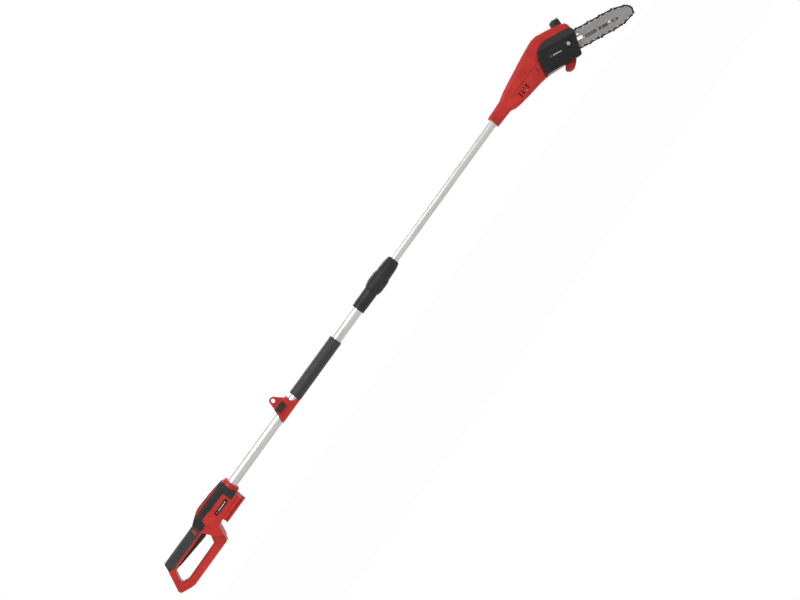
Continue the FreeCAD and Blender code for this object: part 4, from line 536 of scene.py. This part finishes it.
def handle_trim():
    grip = skin_of("grip_overmould")
    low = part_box("grip_overmould")[0]
    for side, name in ((RIGHT, "right"), (LEFT, "left")):
        spots = []
        for row in range(5):
            for i in range(27):
                x = low.x + (19 + 3.7 * i + 1.85 * (row % 2)) * MM
                if row < 4 and BUTTON_SPAN[0] < x < BUTTON_SPAN[1]:
                    continue
                spots.append((x, side * FAR, (-3.4 + 3.5 * row) * MM))
        domes("grip_studs_" + name, grip, spots, (0, -side, 0), 1.15 * MM, 0.4 * MM, "handle",
              RUBBER)
    bars = [[(x * MM, -9 * MM, FAR), (x * MM, 9 * MM, FAR)] for x in range(-625, -545, 6)]
    ribs("grip_thumb_ribs", grip, bars, (0, 0, -1), 2.2 * MM, 0.5 * MM, "handle",
         RUBBER)
    cover = skin_of("top_cover")
    for side, name in ((RIGHT, "right"), (LEFT, "left")):
        spots = [((-462 + 3.6 * i + 1.8 * (row % 2)) * MM, side * FAR, (20.4 + 2.9 * row) * MM)
                 for row in range(3) for i in range(14)]
        domes("cover_studs_" + name, cover, spots, (0, -side, 0), 1.0 * MM, 0.35 * MM, "handle",
              BLACK)
        lines = [[(-405 * MM, side * FAR, z * MM), (-374 * MM, side * FAR, z * MM)]
                 for z in (20.5, 23.0)]
        ribs("cover_lines_" + name, cover, lines, (0, -side, 0), 1.2 * MM, 0.3 * MM, "handle",
             BLACK)
    bars = [[(x * MM, -6 * MM, FAR), (x * MM, 6 * MM, FAR)] for x in range(-452, -408, 7)]
    ribs("cover_top_ribs", cover, bars, (0, 0, -1), 2.4 * MM, 0.45 * MM, "handle",
         BLACK)
    shells = skin_of("handle_shell_right", "handle_shell_left")
    seam = [[(-625 * MM, 0.05 * MM, -FAR), (-484 * MM, 0.05 * MM, -FAR)]]
    ribs("loop_seam", shells, seam, (0, 0, 1), 0.7 * MM, 0.06 * MM, "handle",
         SEAM)
    for side, name in ((RIGHT, "right"), (LEFT, "left")):
        lines = [[(-620 * MM, side * FAR, z * MM), (-492 * MM, side * FAR, z * MM)]
                 for z in (-64.0, -60.5)]
        ribs("loop_lines_" + name, shells, lines, (0, -side, 0), 1.0 * MM, 0.3 * MM, "handle",
             RED)
        edge = [[(x * MM, side * FAR, z * MM) for x, z in LOOP_EDGE]]
        # A darker red strip with almost no rise: painted shade standing for the shadow on the inner chamfer.
        ribs("loop_edge_" + name, shells, edge, (0, -side, 0), 2.6 * MM, 0.12 * MM, "handle",
             PAINTED_SHADE)


def trigger_trim():
    skin = skin_of("trigger")
    bars = [[(x * MM, -5 * MM, -FAR), (x * MM, 5 * MM, -FAR)] for x in range(-586, -512, 8)]
    ribs("trigger_ribs", skin, bars, (0, 0, 1), 2.0 * MM, 0.4 * MM, "trigger_lever",
         BLACK)


def label_marks(name, low, high, body, to_place):
    """Plain marks on a label plate: one pale disc and a few pale bars, no words."""
    height = high[1] - low[1]
    middle = (low[1] + high[1]) / 2
    disc = [(low[0] + 0.75 * height + x, middle + z) for x, z in ring_points(0.2 * height, 24)]
    start = low[0] + 1.35 * height
    reach = high[0] - 0.6 * height - start
    bars = []
    for i in range(5):
        a = start + reach * i / 5
        bars.append(rounded_outline((a, middle - 0.10 * height),
                                    (a + reach / 5 * (0.72 if i % 2 else 0.86),
                                     middle + 0.10 * height), 0.05 * height, 3))
    plates(name + "_disc", [disc], to_place, 0.08 * MM, body, RED_INK)
    plates(name + "_bars", bars, to_place, 0.08 * MM, body, INK)


def labels():
    low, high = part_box("handle_label_plate")
    face = low.y

    def on_handle(x, z, height):
        return Vector((x, face - height, z))
    label_marks("handle_label", (low.x, low.z), (high.x, high.z), "handle", on_handle)
    face_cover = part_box("cover_label_plate")[0].y

    def on_cover(x, z, height):
        return bar_spot(x / MM, z / MM, face_cover - height)
    label_marks("cover_label", (-92 * MM, -12 * MM), (-52 * MM, -3 * MM), "cover", on_cover)


def springs():
    low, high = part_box("trigger_spring")
    centre = (low + high) / 2
    spring = coil("trigger_return_spring", Vector((centre.x, centre.y, low.z + 0.4 * MM)),
                  Vector((0, 0, 1)), high.z - low.z - 0.8 * MM, 8, 3.0 * MM, 0.4 * MM, "handle",
                  STEEL)
    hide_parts("trigger_spring")
    low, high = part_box("lock_off_spring")
    centre = (low + high) / 2
    spring = coil("lock_off_return_spring", Vector((centre.x, low.y + 0.3 * MM, centre.z)),
                  Vector((0, 1, 0)), high.y - low.y - 0.6 * MM, 6, 1.8 * MM, 0.3 * MM, "handle",
                  STEEL)
    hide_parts("lock_off_spring")


def curled_lead():
    """The curled lead inside the pole, which on the tool draws out with the head; here it is a fixed coil on no
    body.
    """
    low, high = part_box("coil_cable")
    wire = 1.6 * MM
    lead = coil("curled_lead", Vector((low.x + wire, 0, 0)), Vector((1, 0, 0)),
                high.x - low.x - 2 * wire, 52, high.z - wire - 0.2 * MM, wire, None,
                CABLE)
    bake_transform(lead)
    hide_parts("coil_cable")


# ---------------------------------------------------------------- pole

def pole_trim():
    mesh_data = bmesh.new()
    low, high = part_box("fore_grip")
    for x in (low.x + 5 * MM, low.x + 9 * MM, high.x - 5 * MM, high.x - 9 * MM):
        add_hoop(mesh_data, Vector((x, 0, 0)), Vector((1, 0, 0)), high.z - 0.15 * MM, 0.7 * MM)
    finished("fore_grip_beads", mesh_data, "handle", RUBBER)
    low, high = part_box("lock_sleeve")
    mesh_data = bmesh.new()
    for i in range(3):
        x = low.x + (14 + 5 * i) * MM
        add_hoop(mesh_data, Vector((x, 0, 0)), Vector((1, 0, 0)), high.z - 0.45 * MM, 0.75 * MM)
    finished("lock_sleeve_beads", mesh_data, "handle", BLACK)
    nut = skin_of("lock_nut")
    low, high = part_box("lock_nut")
    for name, start, end, count in (("rear", 12, 41, 20), ("front", 55, 80, 14)):
        mesh_data = bmesh.new()
        for out_y, out_z in ring_points(1.0, count):
            out = Vector((0, out_y, out_z))
            path = [Vector((low.x + start * MM, 0, 0)) + out * FAR,
                    Vector((low.x + end * MM, 0, 0)) + out * FAR]
            add_rib(mesh_data, nut, path, -out, 2.4 * MM, 0.6 * MM)
        finished("lock_nut_ribs_" + name, mesh_data, "lock_nut", BLACK)


def strap_trim():
    knob = skin_of("strap_knob")
    low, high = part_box("strap_knob")
    paths = [[(x * MM, -FAR, low.z + 3 * MM), (x * MM, -FAR, high.z - 3 * MM)]
             for x in (-138, -134, -124, -120)]
    ribs("strap_knob_ribs", knob, paths, (0, 1, 0), 1.4 * MM, 0.45 * MM, "strap_knob",
         BLACK)
    for side, name in ((RIGHT, "right"), (LEFT, "left")):
        skin = skin_of("strap_bracket_" + name)
        lines = [[(x * MM, side * FAR, -10 * MM), ((x + 8) * MM, side * FAR, 9 * MM)]
                 for x in (-148, -106)]
        ribs("strap_bracket_lines_" + name, skin, lines, (0, -side, 0), 1.4 * MM, 0.5 * MM,
             "strap_mount", RED)


# ---------------------------------------------------------------- saw head

def head_trim():
    shells = skin_of("head_shell_right", "head_shell_left")
    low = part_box("head_shell_right")[0]
    top = [[(low.x + 4 * MM, 0.05 * MM, FAR), (1016 * MM, 0.05 * MM, FAR)]]
    ribs("head_seam_top", shells, top, (0, 0, -1), 0.7 * MM, 0.06 * MM, "head",
         SEAM)
    under = [[(low.x + 4 * MM, 0.05 * MM, -FAR), (968 * MM, 0.05 * MM, -FAR)]]
    ribs("head_seam_under", shells, under, (0, 0, 1), 0.7 * MM, 0.06 * MM, "head",
         SEAM)
    for side, name in ((RIGHT, "right"), (LEFT, "left")):
        skin = skin_of("head_shell_" + name)
        y = side * FAR
        # The crease line is a painted shadow: a thin dark strip with almost no rise, standing for the shade in the
        # groove along the top and front of the lower panel.
        crease = [[(826 * MM, y, -1 * MM), (929 * MM, y, -1 * MM), (919 * MM, y, -27 * MM)]]
        ribs("head_crease_" + name, skin, crease, (0, -side, 0), 1.3 * MM, 0.1 * MM, "head",
             SEAM)
        panel = [[(924 * MM, y, -4 * MM), (915.5 * MM, y, -27 * MM)]]
        ribs("head_slant_rib_" + name, skin, panel, (0, -side, 0), 3.2 * MM, 0.7 * MM, "head",
             RED)
        frames = []
        for x in (848, 857, 866, 875):
            frames.append([((x - 2.2) * MM, y, -6.5 * MM), ((x - 3.4) * MM, y, -23.5 * MM)])
        ribs("head_vent_ribs_" + name, skin, frames, (0, -side, 0), 1.1 * MM, 0.5 * MM, "head",
             RED)
        collar = [[(763 * MM, y, -10 * MM), (763 * MM, y, 10 * MM)],
                  [(767 * MM, y, -10 * MM), (767 * MM, y, 10 * MM)]]
        ribs("head_neck_ribs_" + name, skin, collar, (0, -side, 0), 1.4 * MM, 0.45 * MM, "head",
             RED)


def cover_trim():
    skin = skin_of("chain_cover")
    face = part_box("chain_cover")[0].y - FAR
    lines = [[bar_spot(-108, up, face), bar_spot(-24, up, face)] for up in (-24, -29, -34)]
    ribs("cover_ridges", skin, lines, (0, 1, 0), 1.6 * MM, 0.5 * MM, "cover",
         GLOSS)
    rim = [[bar_spot(-96, 13, face), bar_spot(-18, 13, face)]]
    ribs("cover_upper_ridge", skin, rim, (0, 1, 0), 1.2 * MM, 0.4 * MM, "cover",
         GLOSS)
    mesh_data = bmesh.new()
    centre = bar_spot(-32.5, 0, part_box("chain_cover")[0].y + 0.3 * MM)
    add_hoop(mesh_data, centre, Vector((0, 1, 0)), 10.6 * MM, 0.8 * MM)
    finished("cover_nut_rim", mesh_data, "cover", GLOSS)


def bar_marks():
    """Plain etched bands on both faces of the bar, with fine lines inside the longest."""
    low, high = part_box("guide_bar")
    for side, name, face in ((RIGHT, "right", low.y), (LEFT, "left", high.y)):
        def on_bar(x, z, height):
            return bar_spot(x, z, face + side * height)
        bands = [rounded_outline((15, -8), (47, 0.5), 1.2),
                 rounded_outline((53, -7.5), (61, 0.5), 1.0),
                 rounded_outline((63, -7.5), (79, 0.5), 1.0),
                 rounded_outline((91, -7), (98, 0.5), 3.0),
                 rounded_outline((101, -7), (109, 0.5), 3.6)]
        plates("bar_bands_" + name, bands, on_bar, 0.05 * MM, "bar", ETCH)
        insets = [rounded_outline((17, -5.4), (45, -4.6), 0.3, 3),
                  rounded_outline((17, -3.2), (38, -2.4), 0.3, 3)]
        plates("bar_band_lines_" + name, insets, on_bar, 0.08 * MM, "bar", BAR)


def cap_trim():
    """A raised rim on the oil cap's top."""
    top = max((corner.co - BAR_ORIGIN).dot(BAR_UP)
              for corner in frame["nodes"]["oil_cap"].data.vertices)
    centre = BAR_ORIGIN - 32 * MM * BAR_ALONG + top * BAR_UP
    mesh_data = bmesh.new()
    add_hoop(mesh_data, centre - 0.35 * MM * BAR_UP, BAR_UP, 9.2 * MM, 0.6 * MM)
    finished("oil_cap_rim", mesh_data, "oil_cap", BLACK)


# ---------------------------------------------------------------- studio

CAMERA_TARGET = Vector((0.2613, 0, -0.0716))
CAMERA_UP = Vector((0.8097, 0, 0.5869))
CAMERA_DISTANCE = 4.0
FRAME_WIDTH = 2.0


def camera():
    """Looks square at the chain side, with the pole rising to the right."""
    data = bpy.data.cameras.new("camera")
    data.sensor_width = 36
    data.lens = 36 * CAMERA_DISTANCE / FRAME_WIDTH
    seen = bpy.data.objects.new("camera", data)
    bpy.context.scene.collection.objects.link(seen)
    back = Vector((0, -1, 0))
    right = CAMERA_UP.cross(back)
    turn = Matrix((right, CAMERA_UP, back)).transposed().to_4x4()
    seen.matrix_world = Matrix.Translation(CAMERA_TARGET + back * CAMERA_DISTANCE) @ turn
    bpy.context.scene.camera = seen


def area_light(name, spot, size, power):
    data = bpy.data.lights.new(name, "AREA")
    data.shape = "DISK"
    data.size = size
    data.energy = power
    light = bpy.data.objects.new(name, data)
    light.location = spot
    light.rotation_mode = "QUATERNION"
    light.rotation_quaternion = (CAMERA_TARGET - Vector(spot)).to_track_quat("-Z", "Y")
    bpy.context.scene.collection.objects.link(light)


def seen_and_lit(tree, seen, lit):
    """Mixes two shaders: one for what the camera sees directly, one for all other rays."""
    mix = tree.nodes.new("ShaderNodeMixShader")
    path = tree.nodes.new("ShaderNodeLightPath")
    tree.links.new(path.outputs["Is Camera Ray"], mix.inputs["Fac"])
    tree.links.new(lit, mix.inputs[1])
    tree.links.new(seen, mix.inputs[2])
    return mix.outputs["Shader"]


def studio():
    low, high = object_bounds()
    bpy.context.scene.view_settings.view_transform = "Standard"
    world = bpy.data.worlds.new("studio")
    world.use_nodes = True
    bpy.context.scene.world = world
    tree = world.node_tree
    lit = tree.nodes["Background"]
    direction = tree.nodes.new("ShaderNodeTexCoord")
    split = tree.nodes.new("ShaderNodeSeparateXYZ")
    ramp = tree.nodes.new("ShaderNodeMapRange")
    ramp.inputs["From Min"].default_value = -0.25
    ramp.inputs["From Max"].default_value = 0.35
    ramp.inputs["To Min"].default_value = 0.30
    ramp.inputs["To Max"].default_value = 0.85
    tree.links.new(direction.outputs["Generated"], split.inputs[0])
    tree.links.new(split.outputs["Z"], ramp.inputs["Value"])
    tree.links.new(ramp.outputs["Result"], lit.inputs["Strength"])
    lit.inputs["Color"].default_value = (1, 1, 1, 1)
    seen = tree.nodes.new("ShaderNodeBackground")
    seen.inputs["Color"].default_value = (1, 1, 1, 1)
    result = seen_and_lit(tree, seen.outputs[0], lit.outputs[0])
    tree.links.new(result, tree.nodes["World Output"].inputs["Surface"])
    area_light("key_light", (-0.5, -2.6, 2.0), 2.2, 50)
    area_light("fill_light", (1.9, -2.8, -0.6), 2.4, 10)
    area_light("back_light", (0.2, 2.4, 1.8), 2.0, 35)
    floor_level = low.z - 0.06
    bpy.ops.mesh.primitive_circle_add(vertices=96, radius=2.6, fill_type="NGON",
                                      location=((low.x + high.x) / 2, 0, floor_level))
    floor = bpy.context.object
    floor.name = "floor"
    material = bpy.data.materials.new("pale_floor")
    material.use_nodes = True
    tree = material.node_tree
    diffuse = tree.nodes["Principled BSDF"]
    diffuse.inputs["Base Color"].default_value = (0.62, 0.62, 0.62, 1)
    diffuse.inputs["Roughness"].default_value = 0.9
    pale = tree.nodes.new("ShaderNodeEmission")
    pale.inputs["Strength"].default_value = 0.98
    result = seen_and_lit(tree, pale.outputs[0], diffuse.outputs[0])
    tree.links.new(result, tree.nodes["Material Output"].inputs["Surface"])
    floor.data.materials.append(material)
    floor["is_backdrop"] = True


finish_nodes()
handle_trim()
trigger_trim()
labels()
springs()
curled_lead()
pole_trim()
strap_trim()
head_trim()
cover_trim()
bar_marks()
cap_trim()
camera()
studio()
